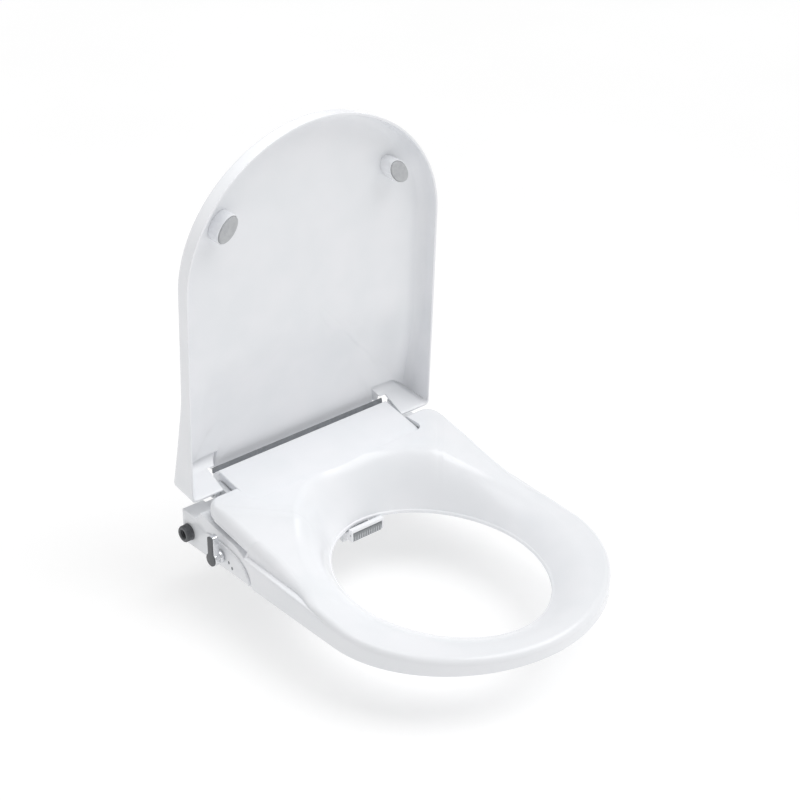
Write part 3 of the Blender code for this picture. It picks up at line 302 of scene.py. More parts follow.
def make_materials(c):
    MATERIALS.update(
        shell=moulded_polypropylene("polypropylene_gloss_white", linear(c.shell), linear("EEF0F3")),
        inner=satin_polypropylene("polypropylene_satin_white", linear(c.inner), linear("DBDDE0")),
        panel=etched_abs("abs_light_grey", linear(c.panel), linear("DADEE0"), (0.26, 0.38)),
        pale=etched_abs("abs_pale_grey", linear("C6C9CC"), linear("BDC0C4")),
        # Grey elastomer for the cover's seal; the same grey also paints shade on the strip set in the gap
        # behind the cover
        seal=soft_elastomer("elastomer_seal_grey", linear("8E9195"), linear("828589")),
        mid=etched_abs("abs_mid_grey", linear("8E9194"), linear("84878A")),
        dark=etched_abs("abs_dark_grey", linear(c.dark), linear("55575A")),
        # Near black for the spray holes: painted shade inside the holes
        black=etched_abs("abs_shadow_black", linear("1A1B1D"), linear("131415")),
        ink=etched_abs("print_grey", linear("6F7478"), linear("666B6F")),
        chrome=plated_chrome("chrome_plated_plastic"),
        steel=drawn_stainless("stainless_drawn"),
        pad=soft_elastomer("elastomer_pad_grey", linear(c.pad), linear("B4B6B9")),
        rubber=soft_elastomer("elastomer_light_grey", linear("B9BCBD"), linear("ADB0B2")),
        hose=silicone_hose("silicone_hose_milky"),
    )


# ============================================================ mesh helpers
def solid(name, bm, angle=30):
    me = bpy.data.meshes.new(name)
    bm.to_mesh(me)
    bm.free()
    me.validate()
    ob = bpy.data.objects.new(name, me)
    bpy.context.scene.collection.objects.link(ob)
    me.shade_smooth()
    me.set_sharp_from_angle(angle=radians(angle))
    return ob


def settle(ob, angle=30):
    """Turns the object's modifiers into its mesh."""
    deps = bpy.context.evaluated_depsgraph_get()
    me = bpy.data.meshes.new_from_object(ob.evaluated_get(deps))
    ob.modifiers.clear()
    ob.data = me
    me.shade_smooth()
    me.set_sharp_from_angle(angle=radians(angle))
    return ob


def chamfer(ob, width, segments=2, angle=35):
    m = ob.modifiers.new("soft_edges", "BEVEL")
    m.width = width
    m.segments = segments
    m.limit_method = "ANGLE"
    m.angle_limit = radians(angle)
    m.use_clamp_overlap = True
    m.harden_normals = False
    return ob


def carve(ob, cutters, operation="DIFFERENCE"):
    for c in cutters:
        m = ob.modifiers.new("cut", "BOOLEAN")
        m.operation = operation
        m.solver = "EXACT"
        m.object = c
    settle(ob)
    for c in cutters:
        bpy.data.objects.remove(c, do_unlink=True)
    return ob


def finish_piece(ob, body, material, nodes=()):
    ob.data.materials.clear()
    ob.data.materials.append(MATERIALS[material])
    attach(ob, body)
    if nodes:
        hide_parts(*nodes)
    return ob


def softened(node, name, body, material, width=0.0006, segments=2, angle=35):
    """A merged copy of a frame node with its edges rounded the way a mould rounds them."""
    bm = bmesh.new()
    bm.from_mesh(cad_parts[node].data)
    bmesh.ops.remove_doubles(bm, verts=bm.verts, dist=0.000002)
    bmesh.ops.dissolve_limit(bm, angle_limit=radians(0.5), verts=bm.verts, edges=bm.edges)
    ob = solid(name, bm, angle)
    chamfer(ob, width, segments, angle)
    settle(ob, 40)
    return finish_piece(ob, body, material, (node,))


def paint(material, *nodes):
    """Gives frame nodes that keep their shape a finished surface."""
    for n in nodes:
        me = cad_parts[n].data
        me.materials.clear()
        me.materials.append(MATERIALS[material])
        me.shade_smooth()
        me.set_sharp_from_angle(angle=radians(35))


def prism(name, points, low, high, axis="Z"):
    """Outline points pushed along an axis. Along X the points are (u, z)."""
    bm = bmesh.new()
    place = (lambda a, b, t: (t, -a, b)) if axis == "X" else (lambda a, b, t: (a, b, t))
    lo = [bm.verts.new(place(a, b, low)) for a, b in points]
    hi = [bm.verts.new(place(a, b, high)) for a, b in points]
    n = len(points)
    bm.faces.new(lo)
    bm.faces.new(hi)
    for i in range(n):
        bm.faces.new((lo[i], lo[(i + 1) % n], hi[(i + 1) % n], hi[i]))
    bmesh.ops.recalc_face_normals(bm, faces=bm.faces)
    return solid(name, bm)


def turned(name, profile, steps, matrix, angle=30):
    """(radius, height) points spun about local Z; points at radius 0 close it."""
    bm = bmesh.new()
    rings = []
    for r, h in profile:
        if r < 1e-7:
            rings.append([bm.verts.new((0, 0, h))])
        else:
            rings.append([bm.verts.new((r * cos(2 * pi * k / steps), r * sin(2 * pi * k / steps), h))
                for k in range(steps)])
    pairs = list(zip(rings, rings[1:]))
    if profile[0][0] > 1e-7 and profile[-1][0] > 1e-7:
        pairs.append((rings[-1], rings[0]))
    for a, b in pairs:
        for k in range(steps):
            q = (k + 1) % steps
            if len(a) == 1 and len(b) > 1:
                bm.faces.new((a[0], b[k], b[q]))
            elif len(b) == 1 and len(a) > 1:
                bm.faces.new((a[k], a[q], b[0]))
            elif len(a) > 1:
                bm.faces.new((a[k], a[q], b[q], b[k]))
    bmesh.ops.transform(bm, matrix=matrix, verts=bm.verts)
    bmesh.ops.recalc_face_normals(bm, faces=bm.faces)
    return solid(name, bm, angle)


def loft(name, rings, closed, angle=30):
    """Faces between closed rings of points; closed joins the last ring to the first."""
    bm = bmesh.new()
    rows = [[bm.verts.new(p) for p in r] for r in rings]
    m = len(rows[0])
    pairs = list(zip(rows, rows[1:])) + ([(rows[-1], rows[0])] if closed else [])
    for a, b in pairs:
        for i in range(m):
            q = (i + 1) % m
            bm.faces.new((a[i], a[q], b[q], b[i]))
    if not closed:
        for row in (rows[0], rows[-1]):
            mid = sum((v.co for v in row), Vector()) / m
            c = bm.verts.new(mid)
            for i in range(m):
                bm.faces.new((row[i], row[(i + 1) % m], c))
    bmesh.ops.remove_doubles(bm, verts=bm.verts, dist=0.000001)
    bmesh.ops.recalc_face_normals(bm, faces=bm.faces)
    return solid(name, bm, angle)


def follow(name, points, radius, sides=10):
    """A round strand along an open line of points, closed at its ends."""
    rings = []
    P = [Vector(p) for p in points]
    for i, p in enumerate(P):
        t = (P[min(i + 1, len(P) - 1)] - P[max(i - 1, 0)]).normalized()
        a = t.cross(Vector((0, 0, 1)) if abs(t.z) < 0.9 else Vector((1, 0, 0))).normalized()
        b = t.cross(a)
        rings.append([p + (a * cos(2 * pi * k / sides) + b * sin(2 * pi * k / sides)) * radius
            for k in range(sides)])
    return loft(name, rings, False, 60)


# ============================================================ node-grown details
def new_tree(name, **inputs):
    """A geometry tree with named inputs; returns it and its group-input sockets by name."""
    t = bpy.data.node_groups.new(name, "GeometryNodeTree")
    t.interface.new_socket("Geometry", in_out="OUTPUT", socket_type="NodeSocketGeometry")
    for key, kind in inputs.items():
        t.interface.new_socket(key, in_out="INPUT", socket_type=kind)
    t.interface.new_socket("Material", in_out="INPUT", socket_type="NodeSocketMaterial")
    gate = t.nodes.new("NodeGroupInput")
    return t, gate.outputs


def close_tree(t, geometry, given):
    smooth = add(t, "GeometryNodeSetShadeSmooth", {"Geometry": geometry, "Shade Smooth": True})
    real = add(t, "GeometryNodeRealizeInstances", {"Geometry": smooth.outputs[0]})
    mat = add(t, "GeometryNodeSetMaterial", {"Geometry": real.outputs[0], "Material": given["Material"]})
    add(t, "NodeGroupOutput", {"Geometry": mat.outputs[0]})
    return t


def thread_tree():
    """One ridge wound round a rod or inside a bore."""
    t, given = new_tree("screw_thread", Radius="NodeSocketFloat", Turns="NodeSocketFloat",
        Length="NodeSocketFloat", Ridge="NodeSocketFloat")
    spiral = add(t, "GeometryNodeCurveSpiral", {"Resolution": 28, "Rotations": given["Turns"],
        "Start Radius": given["Radius"], "End Radius": given["Radius"], "Height": given["Length"]})
    shape = add(t, "GeometryNodeCurvePrimitiveCircle", {"Resolution": 6, "Radius": given["Ridge"]})
    wound = add(t, "GeometryNodeCurveToMesh", {"Curve": spiral.outputs[0],
        "Profile Curve": shape.outputs[0], "Fill Caps": True})
    return close_tree(t, wound.outputs[0], given)


def ribs_tree():
    """Round-backed ribs in a straight row."""
    t, given = new_tree("rib_row", Count="NodeSocketInt", Step="NodeSocketVector", Rib="NodeSocketVector",
        Radius="NodeSocketFloat")
    row = add(t, "GeometryNodeMeshLine", {"Count": given["Count"], "Offset": given["Step"]})
    line = add(t, "GeometryNodeCurvePrimitiveLine", {"End": given["Rib"]})
    shape = add(t, "GeometryNodeCurvePrimitiveCircle", {"Resolution": 8, "Radius": given["Radius"]})
    rib = add(t, "GeometryNodeCurveToMesh", {"Curve": line.outputs[0], "Profile Curve": shape.outputs[0],
        "Fill Caps": True})
    put = add(t, "GeometryNodeInstanceOnPoints", {"Points": row.outputs[0], "Instance": rib.outputs[0]})
    return close_tree(t, put.outputs[0], given)


def round_tree():
    """Short rods standing in a circle, such as grip ribs, or the black discs that paint the shade inside
    spray holes.
    """
    t, given = new_tree("rod_circle", Count="NodeSocketInt", Radius="NodeSocketFloat",
        Height="NodeSocketFloat", Rod="NodeSocketFloat")
    circle = add(t, "GeometryNodeMeshCircle", {"Vertices": given["Count"], "Radius": given["Radius"]})
    up = add(t, "ShaderNodeCombineXYZ", {"Z": given["Height"]})
    line = add(t, "GeometryNodeCurvePrimitiveLine", {"End": up.outputs[0]})
    shape = add(t, "GeometryNodeCurvePrimitiveCircle", {"Resolution": 10, "Radius": given["Rod"]})
    rod = add(t, "GeometryNodeCurveToMesh", {"Curve": line.outputs[0], "Profile Curve": shape.outputs[0],
        "Fill Caps": True})
    put = add(t, "GeometryNodeInstanceOnPoints", {"Points": circle.outputs[0], "Instance": rod.outputs[0]})
    return close_tree(t, put.outputs[0], given)


def gauze_tree():
    """Woven wire of the inlet's strainer."""
    t, given = new_tree("strainer_gauze", Size="NodeSocketFloat", Wires="NodeSocketInt",
        Wire="NodeSocketFloat")
    grid = add(t, "GeometryNodeMeshGrid", {"Size X": given["Size"], "Size Y": given["Size"],
        "Vertices X": given["Wires"], "Vertices Y": given["Wires"]})
    wires = add(t, "GeometryNodeMeshToCurve", {"Mesh": grid.outputs[0]})
    shape = add(t, "GeometryNodeCurvePrimitiveCircle", {"Resolution": 5, "Radius": given["Wire"]})
    woven = add(t, "GeometryNodeCurveToMesh", {"Curve": wires.outputs[0], "Profile Curve": shape.outputs[0]})
    return close_tree(t, woven.outputs[0], given)


def screws_tree():
    """Pan-head screws on a grid of bosses."""
    t, given = new_tree("screw_heads", Columns="NodeSocketInt", Rows="NodeSocketInt",
        Width="NodeSocketFloat", Depth="NodeSocketFloat", Head="NodeSocketFloat")
    grid = add(t, "GeometryNodeMeshGrid", {"Size X": given["Width"], "Size Y": given["Depth"],
        "Vertices X": given["Columns"], "Vertices Y": given["Rows"]})
    half = add(t, "ShaderNodeMath", {0: given["Head"], 1: 0.72}, operation="MULTIPLY")
    tall = add(t, "ShaderNodeMath", {0: given["Head"], 1: 0.3}, operation="MULTIPLY")
    head = add(t, "GeometryNodeMeshCone", {"Vertices": 24, "Side Segments": 2,
        "Radius Top": half.outputs[0], "Radius Bottom": given["Head"], "Depth": tall.outputs[0]})
    put = add(t, "GeometryNodeInstanceOnPoints", {"Points": grid.outputs[0],
        "Instance": head.outputs["Mesh"]})
    return close_tree(t, put.outputs[0], given)


TREES = {}


def grow(name, kind, matrix, material, angle=35, **values):
    """Runs a tree once and keeps its result as a plain mesh in its place."""
    if kind not in TREES:
        TREES[kind] = {"thread": thread_tree, "ribs": ribs_tree, "round": round_tree, "gauze": gauze_tree,
            "screws": screws_tree}[kind]()
    tree = TREES[kind]
    ob = bpy.data.objects.new(name, bpy.data.meshes.new(name))
    bpy.context.scene.collection.objects.link(ob)
    mod = ob.modifiers.new("grown", "NODES")
    mod.node_group = tree
    values["Material"] = MATERIALS[material]
    for item in tree.interface.items_tree:
        if item.in_out == "INPUT" and item.name in values:
            mod[item.identifier] = values[item.name]
    deps = bpy.context.evaluated_depsgraph_get()
    deps.update()
    me = bpy.data.meshes.new_from_object(ob.evaluated_get(deps))
    ob.modifiers.clear()
    ob.data = me
    if not len(me.vertices):
        raise RuntimeError(f"{name} came out empty")
    me.transform(matrix)
    bm = bmesh.new()
    bm.from_mesh(me)
    bmesh.ops.recalc_face_normals(bm, faces=bm.faces)
    bm.to_mesh(me)
    bm.free()
    me.shade_smooth()
    me.set_sharp_from_angle(angle=radians(angle))
    return ob


# ============================================================ shared shapes
def cover_z(u):
    return 0.08158 - 0.193 * u


def rim_z(u):
    return AXIS_Z - RIM_DROP / cos(RIM_ANGLE) - RIM_SLOPE * u


def smooth_max(a, b, k):
    return 0.5 * (a + b + sqrt((a - b) ** 2 + k * k))


def ease(v, a, b):
    t = min(1.0, max(0.0, (v - a) / (b - a)))
    return t * t * (3 - 2 * t)


def half_width(u, length, widest, w0, w1, square=1.94):
    if u <= widest:
        return w1 - (w1 - w0) * ((widest - u) / widest) ** 1.8
    t = min(1.0, (u - widest) / (length - widest))
    return w1 * (1 - t ** square) ** (1 / square)


def outline(length, widest, w0, w1, start, n_side, n_arc, extra=(), square=1.94):
    """Right half of a seat's outline from the rear to the tip, as (x, u)."""
    us = sorted(set([start + (widest - start) * k / n_side for k in range(n_side + 1)] + list(extra)))
    pts = [(half_width(u, length, widest, w0, w1, square), u) for u in us]
    for k in range(1, n_arc + 1):
        a = pi / 2 * k / n_arc
        pts.append((w1 * max(0.0, cos(a)) ** (2 / square),
            widest + (length - widest) * sin(a) ** (2 / square)))
    pts[-1] = (0.0, length)
    return pts


def cover_outline(half, back, front, r, n=12):
    pts = [(-half + r * (1 - cos(a)), -front + r * (1 - sin(a)))
        for a in [pi / 2 * k / n for k in range(n + 1)]]
    return pts + [(-x, y) for x, y in reversed(pts)] + [(half, back), (-half, back)]


# ============================================================ seat ring
def seat_section(s, x, u, rear):
    """Closed section from the outer edge to the opening and back underneath, as (inset, height)."""
    n = 1.95
    dx, du = x, u - HOLE_U
    k = (abs(dx / s.hole_half_width) ** n + abs(du / s.hole_half_length) ** n) ** (-1 / n)
    hx, hu = dx * k, HOLE_U + du * k
    R = hypot(x - hx, u - hu)
    top = smooth_max(cover_z(u), rim_z(u) + 0.0014, 0.0025)
    banded = ease(u, 0.106, 0.109) * (1 - rear)
    fade = ease(u, 0.195, 0.245)
    inset = 0.008 * (1 - fade)
    inset0 = 0.008 * (1 - banded) * (1 - rear) * (1 - fade)
    t = min(1.0, max(0.0, (u - 0.106) / 0.019))
    notch = SEAT_BOTTOM + 0.031 * sqrt(max(0.0, 1 - t ** 1.6))
    low_raised = top - 0.015
    low = low_raised if banded <= 0 else (1 - banded) * low_raised + banded * notch
    rnd = (1 - fade) * 0.016 + fade * 0.008
    if rear:
        low, inset, inset0, rnd = low_raised, 0.0, 0.0, 0.007
    front = ease(u, 0.215, 0.285)
    step = banded * (1 - front)
    ledge = banded * (rim_z(u) - 0.002 - 0.0042 * front) + (1 - banded) * (low + 0.003)
    wall_top = max(top - rnd, ledge + 0.0006 * step + 0.0001)
    rise = top - wall_top
    dish = min(s.dish, R - inset - rnd - 0.002)
    depth = top - LIP_Z
    skin = s.wall + 0.003 * (1 - ease(u, 0.075, 0.13))
    corner = max(ledge - 0.0024, low + 0.0004)
    P = [(inset0, low + (corner - low) * j / 4) for j in range(5)]
    for j in range(1, 6):
        a = pi / 2 * j / 5
        P.append((inset0 + 0.0024 * step * (1 - cos(a)), corner + (ledge - corner) * sin(a)))
    start = max(inset, inset0 + 0.0028 * step)
    for j in range(1, 4):
        P.append((inset0 + 0.0024 * step + (start - inset0 - 0.0024 * step) * j / 3, ledge + 0.00025 * j / 3))
    span = max(rnd - (start - inset), 0.003)
    for j in range(0, 13):
        a = pi / 2 * (j / 12)
        P.append((start + 0.00015 * step + span * (1 - cos(a)),
            wall_top + 0.0003 * step + (rise - 0.0003 * step) * sin(a)))
    first = R - dish
    for j in range(0, 25):
        q = j / 24
        P.append((first + (dish - 0.0022) * q, top - depth * q * q - 0.0001 * q))
    for j in range(1, 6):
        a = pi / 2 * j / 5
        P.append((R - 0.0022 + 0.0022 * sin(a), LIP_Z - 0.0001 - 0.0021 * (1 - cos(a))))
    P.append((R - 0.0001, LIP_Z - 0.0041))
    P.append((R - 0.0005, LIP_Z - 0.0045))
    Q = [(R - 0.0024, LIP_Z - 0.0045)]
    for j in (11, 9, 7, 5, 3, 1, 0):
        q = j / 12
        r = first + (dish - 0.002) * q - 0.0014 * q
        Q.append((min(r, R - 0.0046), max(top - depth * q * q - skin, LIP_Z - 0.0045 + 0.00015 * (12 - j))))
    wall = start + s.wall
    Q.append((wall + span * 0.45, wall_top + rise * 0.9 - skin))
    Q.append((wall + 0.0002, max(wall_top + rise * 0.35 - skin * 0.6, low + 0.0012)))
    Q.append((max(inset0 + s.wall - 0.0002, wall - 0.0032 * banded),
        max(min(ledge - s.wall + 0.0042 * front, wall_top - s.wall), low + 0.0006)))
    Q.append((inset0 + s.wall - 0.0004, low))
    return P + Q, R, hx, hu


def seat_rings(s):
    extra = [0.101, 0.1055, 0.1065, 0.1075, 0.1085, 0.1095, 0.112, 0.114, 0.116, 0.118, 0.12, 0.122, 0.1235,
        0.125, 0.128, 0.131]
    w0 = 0.1808
    side = outline(s.length, 0.2758, w0, s.half_width, SHOULDER_U + 0.016, 44, 44, extra)
    w = half_width(SHOULDER_U, s.length, 0.2758, w0, s.half_width) - 0.008
    loop = [((w - 0.016) * k / 24, SHOULDER_U, 1.0) for k in range(25)]
    for k in range(1, 10):
        a = pi / 2 * k / 10
        loop.append((w - 0.016 * (1 - sin(a)), SHOULDER_U + 0.016 * (1 - cos(a)), 1.0))
    loop += [(x, u, 0.0) for x, u in side]
    loop += [(-x, u, r) for x, u, r in reversed(loop[1:-1])]
    rings = []
    for x, u, rear in loop:
        sec, R, hx, hu = seat_section(s, x, u, rear)
        dx, du = (hx - x) / R, (hu - u) / R
        rings.append([(x + dx * r, -(u + du * r), z) for r, z in sec])
    return rings


class BIDET_OT_ring(bpy.types.Operator):
    """Seat ring with its dished opening, side ledge and the pocket for the top cover"""

    bl_idname = "bidet.ring"
    bl_label = "Seat Ring"

    def execute(self, context):
        s = context.scene.bidet_seat
        ob = loft("seat_ring_shell", seat_rings(s), True)
        pocket = prism("pocket", cover_outline(0.130, 0.02, 0.0655, 0.0135), 0.0, 0.12)
        rooms = []
        for sx in (1, -1):
            a, b = sorted((0.1289 * sx, 0.1357 * sx))
            under = lambda u: cover_z(u) - 0.007 - 0.0008 + 0.0004
            rooms.append(prism("room", [(0.0195, 0.03), (0.0195, under(0.0195)), (0.057, under(0.057)),
                (0.057, 0.03)], a - 0.0005, b + 0.0005, "X"))
        carve(ob, [pocket] + rooms)
        finish_piece(ob, "seat", "shell", ("seat_ring",))
        return {"FINISHED"}


# ============================================================ lid
def lid_place():
    return Matrix.Translation((0, 0, AXIS_Z)) @ Matrix.Rotation(-LID_OPEN, 4, "X")


def lid_depth(s, d):
    t = max(0.0, (0.135 - s) / 0.121)
    return d.depth + (d.depth_rear - d.depth) * t ** 1.15


def lid_floor(x, s, d):
    """Depth of the floor, domed over the seat's raised rear part when the lid is down"""
    along = ease(s, 0.025, 0.075) - ease(s, 0.112, 0.165)
    return lid_depth(s, d) + LID_CROWN * along * (1 - ease(abs(x), 0.128, 0.160))


def lid_rings(d):
    w0, end = 0.1812, 0.006
    side = outline(d.length, 0.276, w0, d.half_width, end + 0.006, 40, 48)
    loop = [(EAR_IN * k / 18, end - 0.010, 0.0) for k in range(19)]
    loop += [(EAR_IN + 0.007 + (w0 * 0.96 - EAR_IN - 0.007) * k / 8, end, 1.0) for k in range(9)]
    for k in range(1, 6):
        a = pi / 2 * k / 6
        loop.append((w0 * 0.96 + (w0 * 0.04) * sin(a), end + 0.006 * (1 - cos(a)) * 0.8, cos(a) ** 2))
    loop += [(x, s, 0.0) for x, s in side]
    loop += [(-x, s, e) for x, s, e in reversed(loop[1:-1])]
    base = []
    for x, s, e in loop:
        v = Vector((-x, 0.215 - s))
        L = v.length
        v = v / L
        base.append((x, s, v, L, lid_depth(s, d), 0.017 * e / max(abs(v.y), 0.3)))

    def layer(fn):
        out = []
        for x, s, v, L, D, slope in base:
            inset, z = fn(D, slope)
            out.append((x + v.x * inset, -(s + v.y * inset), z - RIM_DROP))
        return out

    def wall(D, slope, z):
        return (0.002 + slope) * z / D

    def side_and_round(off, r, first):
        rows = [layer(lambda D, sl, z=z: (off + wall(D, sl, z), z)) for z in first]
        for k in range(0, 9):
            a = pi / 2 * k / 8
            rows.append(layer(lambda D, sl,
                a=a: (off + wall(D, sl, D - off - r + r * sin(a)) + r * (1 - cos(a)),
                D - off - r + r * sin(a))))
        return rows

    def floor(off):
        rows = []
        for f in (0.03, 0.08, 0.15, 0.24, 0.34, 0.46, 0.58, 0.7, 0.82, 0.93):
            row = []
            for x, s, v, L, D, slope in base:
                i0 = 0.002 + slope + 0.008
                r = i0 + (L - i0) * f
                px, ps = x + v.x * r, s + v.y * r
                row.append((px, -ps, lid_floor(px, ps, d) - off - RIM_DROP))
            rows.append(row)
        return rows

    outer = side_and_round(0.0, 0.008, (0.0004, 0.004, 0.008)) + floor(0.0)
    inner = side_and_round(d.wall, 0.011, (0.0004, 0.003, 0.007)) + floor(d.wall)
    lip = [layer(lambda D, sl: (0.0002, 0.0001)), layer(lambda D, sl: (0.0008, 0.0)),
        layer(lambda D, sl: (d.wall - 0.0008, 0.0)), layer(lambda D, sl: (d.wall - 0.0002, 0.0001))]
    return list(reversed(outer)) + lip + inner


class BIDET_OT_lid(bpy.types.Operator):
    """Lid standing open, a shallow tray that deepens toward its hinge"""

    bl_idname = "bidet.lid"
    bl_label = "Lid"

    def execute(self, context):
        d = context.scene.bidet_lid
        ob = loft("lid_panel", lid_rings(d), False)
        notch = prism("notch", LID_NOTCH + [(-x, y) for x, y in reversed(LID_NOTCH)], -0.05, 0.06)
        carve(ob, [notch])
        ob.data.transform(lid_place())
        finish_piece(ob, "lid", "shell", ("lid_shell",))
        return {"FINISHED"}


class BIDET_OT_bumpers(bpy.types.Operator):
    """Oval bumpers inside the lid, white posts with soft grey faces"""

    bl_idname = "bidet.bumpers"
    bl_label = "Lid Bumpers"

    def execute(self, context):
        d = context.scene.bidet_lid
        floor = lid_depth(0.342, d) - d.wall - RIM_DROP
        face = 0.00175 - RIM_DROP
        for side, sx in (("left", 1), ("right", -1)):
            def ring(a, b, z, n=56):
                out = []
                for k in range(n):
                    t = 2 * pi * k / n
                    q, w = a * cos(t), b * sin(t)
                    ang = radians(38) + pi / 2
                    out.append((sx * (0.123 + q * cos(ang) + w * sin(ang)),
                        -(0.342 - (-q * sin(ang) + w * cos(ang))), z))
                return out
            A, B = 0.0185, 0.0115
            rim = face + 0.0018
            rows = [ring(A, B, floor - 0.0003), ring(A, B, rim + 0.0008)]
            rows += [ring(A - 0.0006 * (1 - cos(a)), B - 0.0006 * (1 - cos(a)),
                rim + 0.0008 - 0.0008 * sin(a)) for a in (0.4, 0.9, pi / 2)]
            rows += [ring(A - 0.0011, B - 0.0011, rim), ring(A - 0.0012, B - 0.0012, rim + 0.0012 + 0.0003)]
            post = loft(f"bumper_post_{side}", rows, False)
            post.data.transform(lid_place())
            finish_piece(post, "lid", "shell", (f"lid_bumper_post_{side}",))
            rows = [ring(A - 0.0016, B - 0.0016, face + 0.003)]
            rows += [ring(A - 0.0016 - 0.0009 * (1 - cos(a)), B - 0.0016 - 0.0009 * (1 - cos(a)),
                face + 0.0009 * (1 - sin(a))) for a in (0, 0.4, 0.8, 1.2, pi / 2)]
            rows += [ring((A - 0.0025) * f, (B - 0.0025) * f, face) for f in (0.9, 0.6, 0.3)]
            pad = loft(f"bumper_face_{side}", rows, False)
            pad.data.transform(lid_place())
            finish_piece(pad, "lid", "pad", (f"lid_bumper_pad_{side}",))
        return {"FINISHED"}


# ============================================================ cover and housing
class BIDET_OT_cover(bpy.types.Operator):
    """Sloping top cover with a rolled edge all round"""

    bl_idname = "bidet.cover"
    bl_label = "Top Cover"

    def execute(self, context):
        thick, roll = 0.0035, 0.0011
        pts = cover_outline(0.1285, 0.0063, 0.064, 0.012, 14)

        def row(inset, drop):
            grown = []
            m = len(pts)
            for i, (x, y) in enumerate(pts):
                ax, ay = pts[i - 1]
                bx, by = pts[(i + 1) % m]
                t1 = Vector((x - ax, y - ay)).normalized()
                t2 = Vector((bx - x, by - y)).normalized()
                n1, n2 = Vector((t1.y, -t1.x)), Vector((t2.y, -t2.x))
                n = (n1 + n2).normalized()
                k = inset / max(0.5, n.dot(n1))
                px, py = x - n.x * k, y - n.y * k
                grown.append((px, py, cover_z(-py) - drop))
            return grown
        rows = [row(0.0012, thick), row(0.0002, thick - 0.0002), row(0.0, thick - 0.0008)]
        rows += [row(roll * (1 - cos(a)), roll * (1 - sin(a))) for a in [pi / 2 * k / 6 for k in range(7)]]
        bm = bmesh.new()
        made = [[bm.verts.new(p) for p in r] for r in rows]
        m = len(pts)
        for a, b in zip(made, made[1:]):
            for i in range(m):
                q = (i + 1) % m
                bm.faces.new((a[i], a[q], b[q], b[i]))
        bm.faces.new(made[0])
        bm.faces.new(made[-1])
        bmesh.ops.recalc_face_normals(bm, faces=bm.faces)
        ob = solid("top_cover_skin", bm, 35)
        finish_piece(ob, "base", "shell", ("top_cover",))
        line = [(x, y, cover_z(-y) - 0.0002) for x, y in cover_outline(0.1292, 0.004, 0.0647, 0.0127, 14)]
        seal = follow("cover_seal", line[:-2], 0.0005)
        finish_piece(seal, "base", "seal", ())
        # A thin grey strip behind the cover: painted shade, a dark sheet set where the gap between the
        # housing and the lid lies in shadow
        lip = prism("rear_gap_shade_strip", [(-0.0146, 0.0755), (-0.0152, 0.0800), (-0.0160, 0.0823), (-0.0163, 0.0823),
            (-0.0164, 0.0800), (-0.0162, 0.0755)], -GAP_SHADE_HALF_W, GAP_SHADE_HALF_W, "X")
        finish_piece(lip, "base", "seal", ())
        return {"FINISHED"}


class BIDET_OT_housing(bpy.types.Operator):
    """Housing, its base plate with screws, the hinge arms and the release button"""

    bl_idname = "bidet.housing"
    bl_label = "Housing"

    def execute(self, context):
        softened("base_housing", "housing_shell", "base", "shell", 0.0007, 3)
        softened("base_plate", "underside_plate", "base", "inner", 0.0004, 2)
        softened("mounting_plate", "bowl_plate", "base", "inner", 0.0004, 2)
        softened("release_button", "release_key", "release", "panel", 0.0004, 2)
        for side in ("left", "right"):
            softened(f"seat_hinge_{side}", f"seat_arm_{side}", "seat", "inner", 0.0005, 2)
            softened(f"lid_hinge_{side}", f"lid_arm_{side}", "lid", "inner", 0.0005, 2)
        paint("mid", "damper_left", "damper_right", "hinge_pin_left", "hinge_pin_right")
        paint("hose", "supply_hose", "wash_hose_front", "wash_hose_rear")
        paint("dark", "valve_body")
        screws = grow("plate_screws", "screws",
            Matrix.Translation((0, -0.0445, 0.00095)) @ Matrix.Rotation(pi, 4, "X"), "steel",
                      Columns=5, Rows=2, Width=0.30, Depth=0.046, Head=0.0033)
        finish_piece(screws, "base", "steel", ())
        return {"FINISHED"}


# ============================================================ controls
def side_place(u, z, x=-BASE_HALF_W):
    """Local +Z runs along +X, into the housing, from a point on its lever side."""
    return Matrix.Translation((x, -u, z)) @ Matrix.Rotation(pi / 2, 4, "Y")


class BIDET_OT_inlet(bpy.types.Operator):
    """Threaded water inlet with its strainer"""

    bl_idname = "bidet.inlet"
    bl_label = "Water Inlet"

    def execute(self, context):
        f = context.scene.bidet_fittings
        R = 0.0105
        prof = [(0.0056, -0.0085), (0.0066, -0.0100), (R - 0.0018, -0.0100), (R - 0.0012, -0.0094),
            (R - 0.0010, -0.0085),
                (R - 0.0010, -0.0022), (R - 0.0002, -0.0016), (R, -0.0010), (R, -0.0003), (0.0072, -0.0003),
                    (0.0072, 0.014), (0.0056, 0.014)]
        body = turned("inlet_pipe", prof, 64, side_place(INLET_U, CTRL_Z))
        finish_piece(body, "base", "dark", ("inlet_fitting",))
        turns = 0.0062 / f.inlet_pitch
        outer = grow("inlet_thread", "thread", side_place(INLET_U,
            CTRL_Z) @ Matrix.Translation((0, 0, -0.0087)), "dark",
                     Radius=R - 0.0011, Turns=turns, Length=0.0058, Ridge=0.0008)
        finish_piece(outer, "base", "dark", ())
        inner = grow("inlet_inner_thread", "thread", side_place(INLET_U,
            CTRL_Z) @ Matrix.Translation((0, 0, -0.0080)), "dark",
                     Radius=0.0057, Turns=turns, Length=0.0085, Ridge=0.0005)
        finish_piece(inner, "base", "dark", ())
        gauze = grow("inlet_gauze", "gauze", side_place(INLET_U,
            CTRL_Z) @ Matrix.Translation((0, 0, 0.0017)), "steel",
                     Size=0.0076, Wires=13, Wire=0.00009)
        finish_piece(gauze, "base", "steel", ())
        paint("mid", "inlet_filter", "inlet_nut")
        return {"FINISHED"}


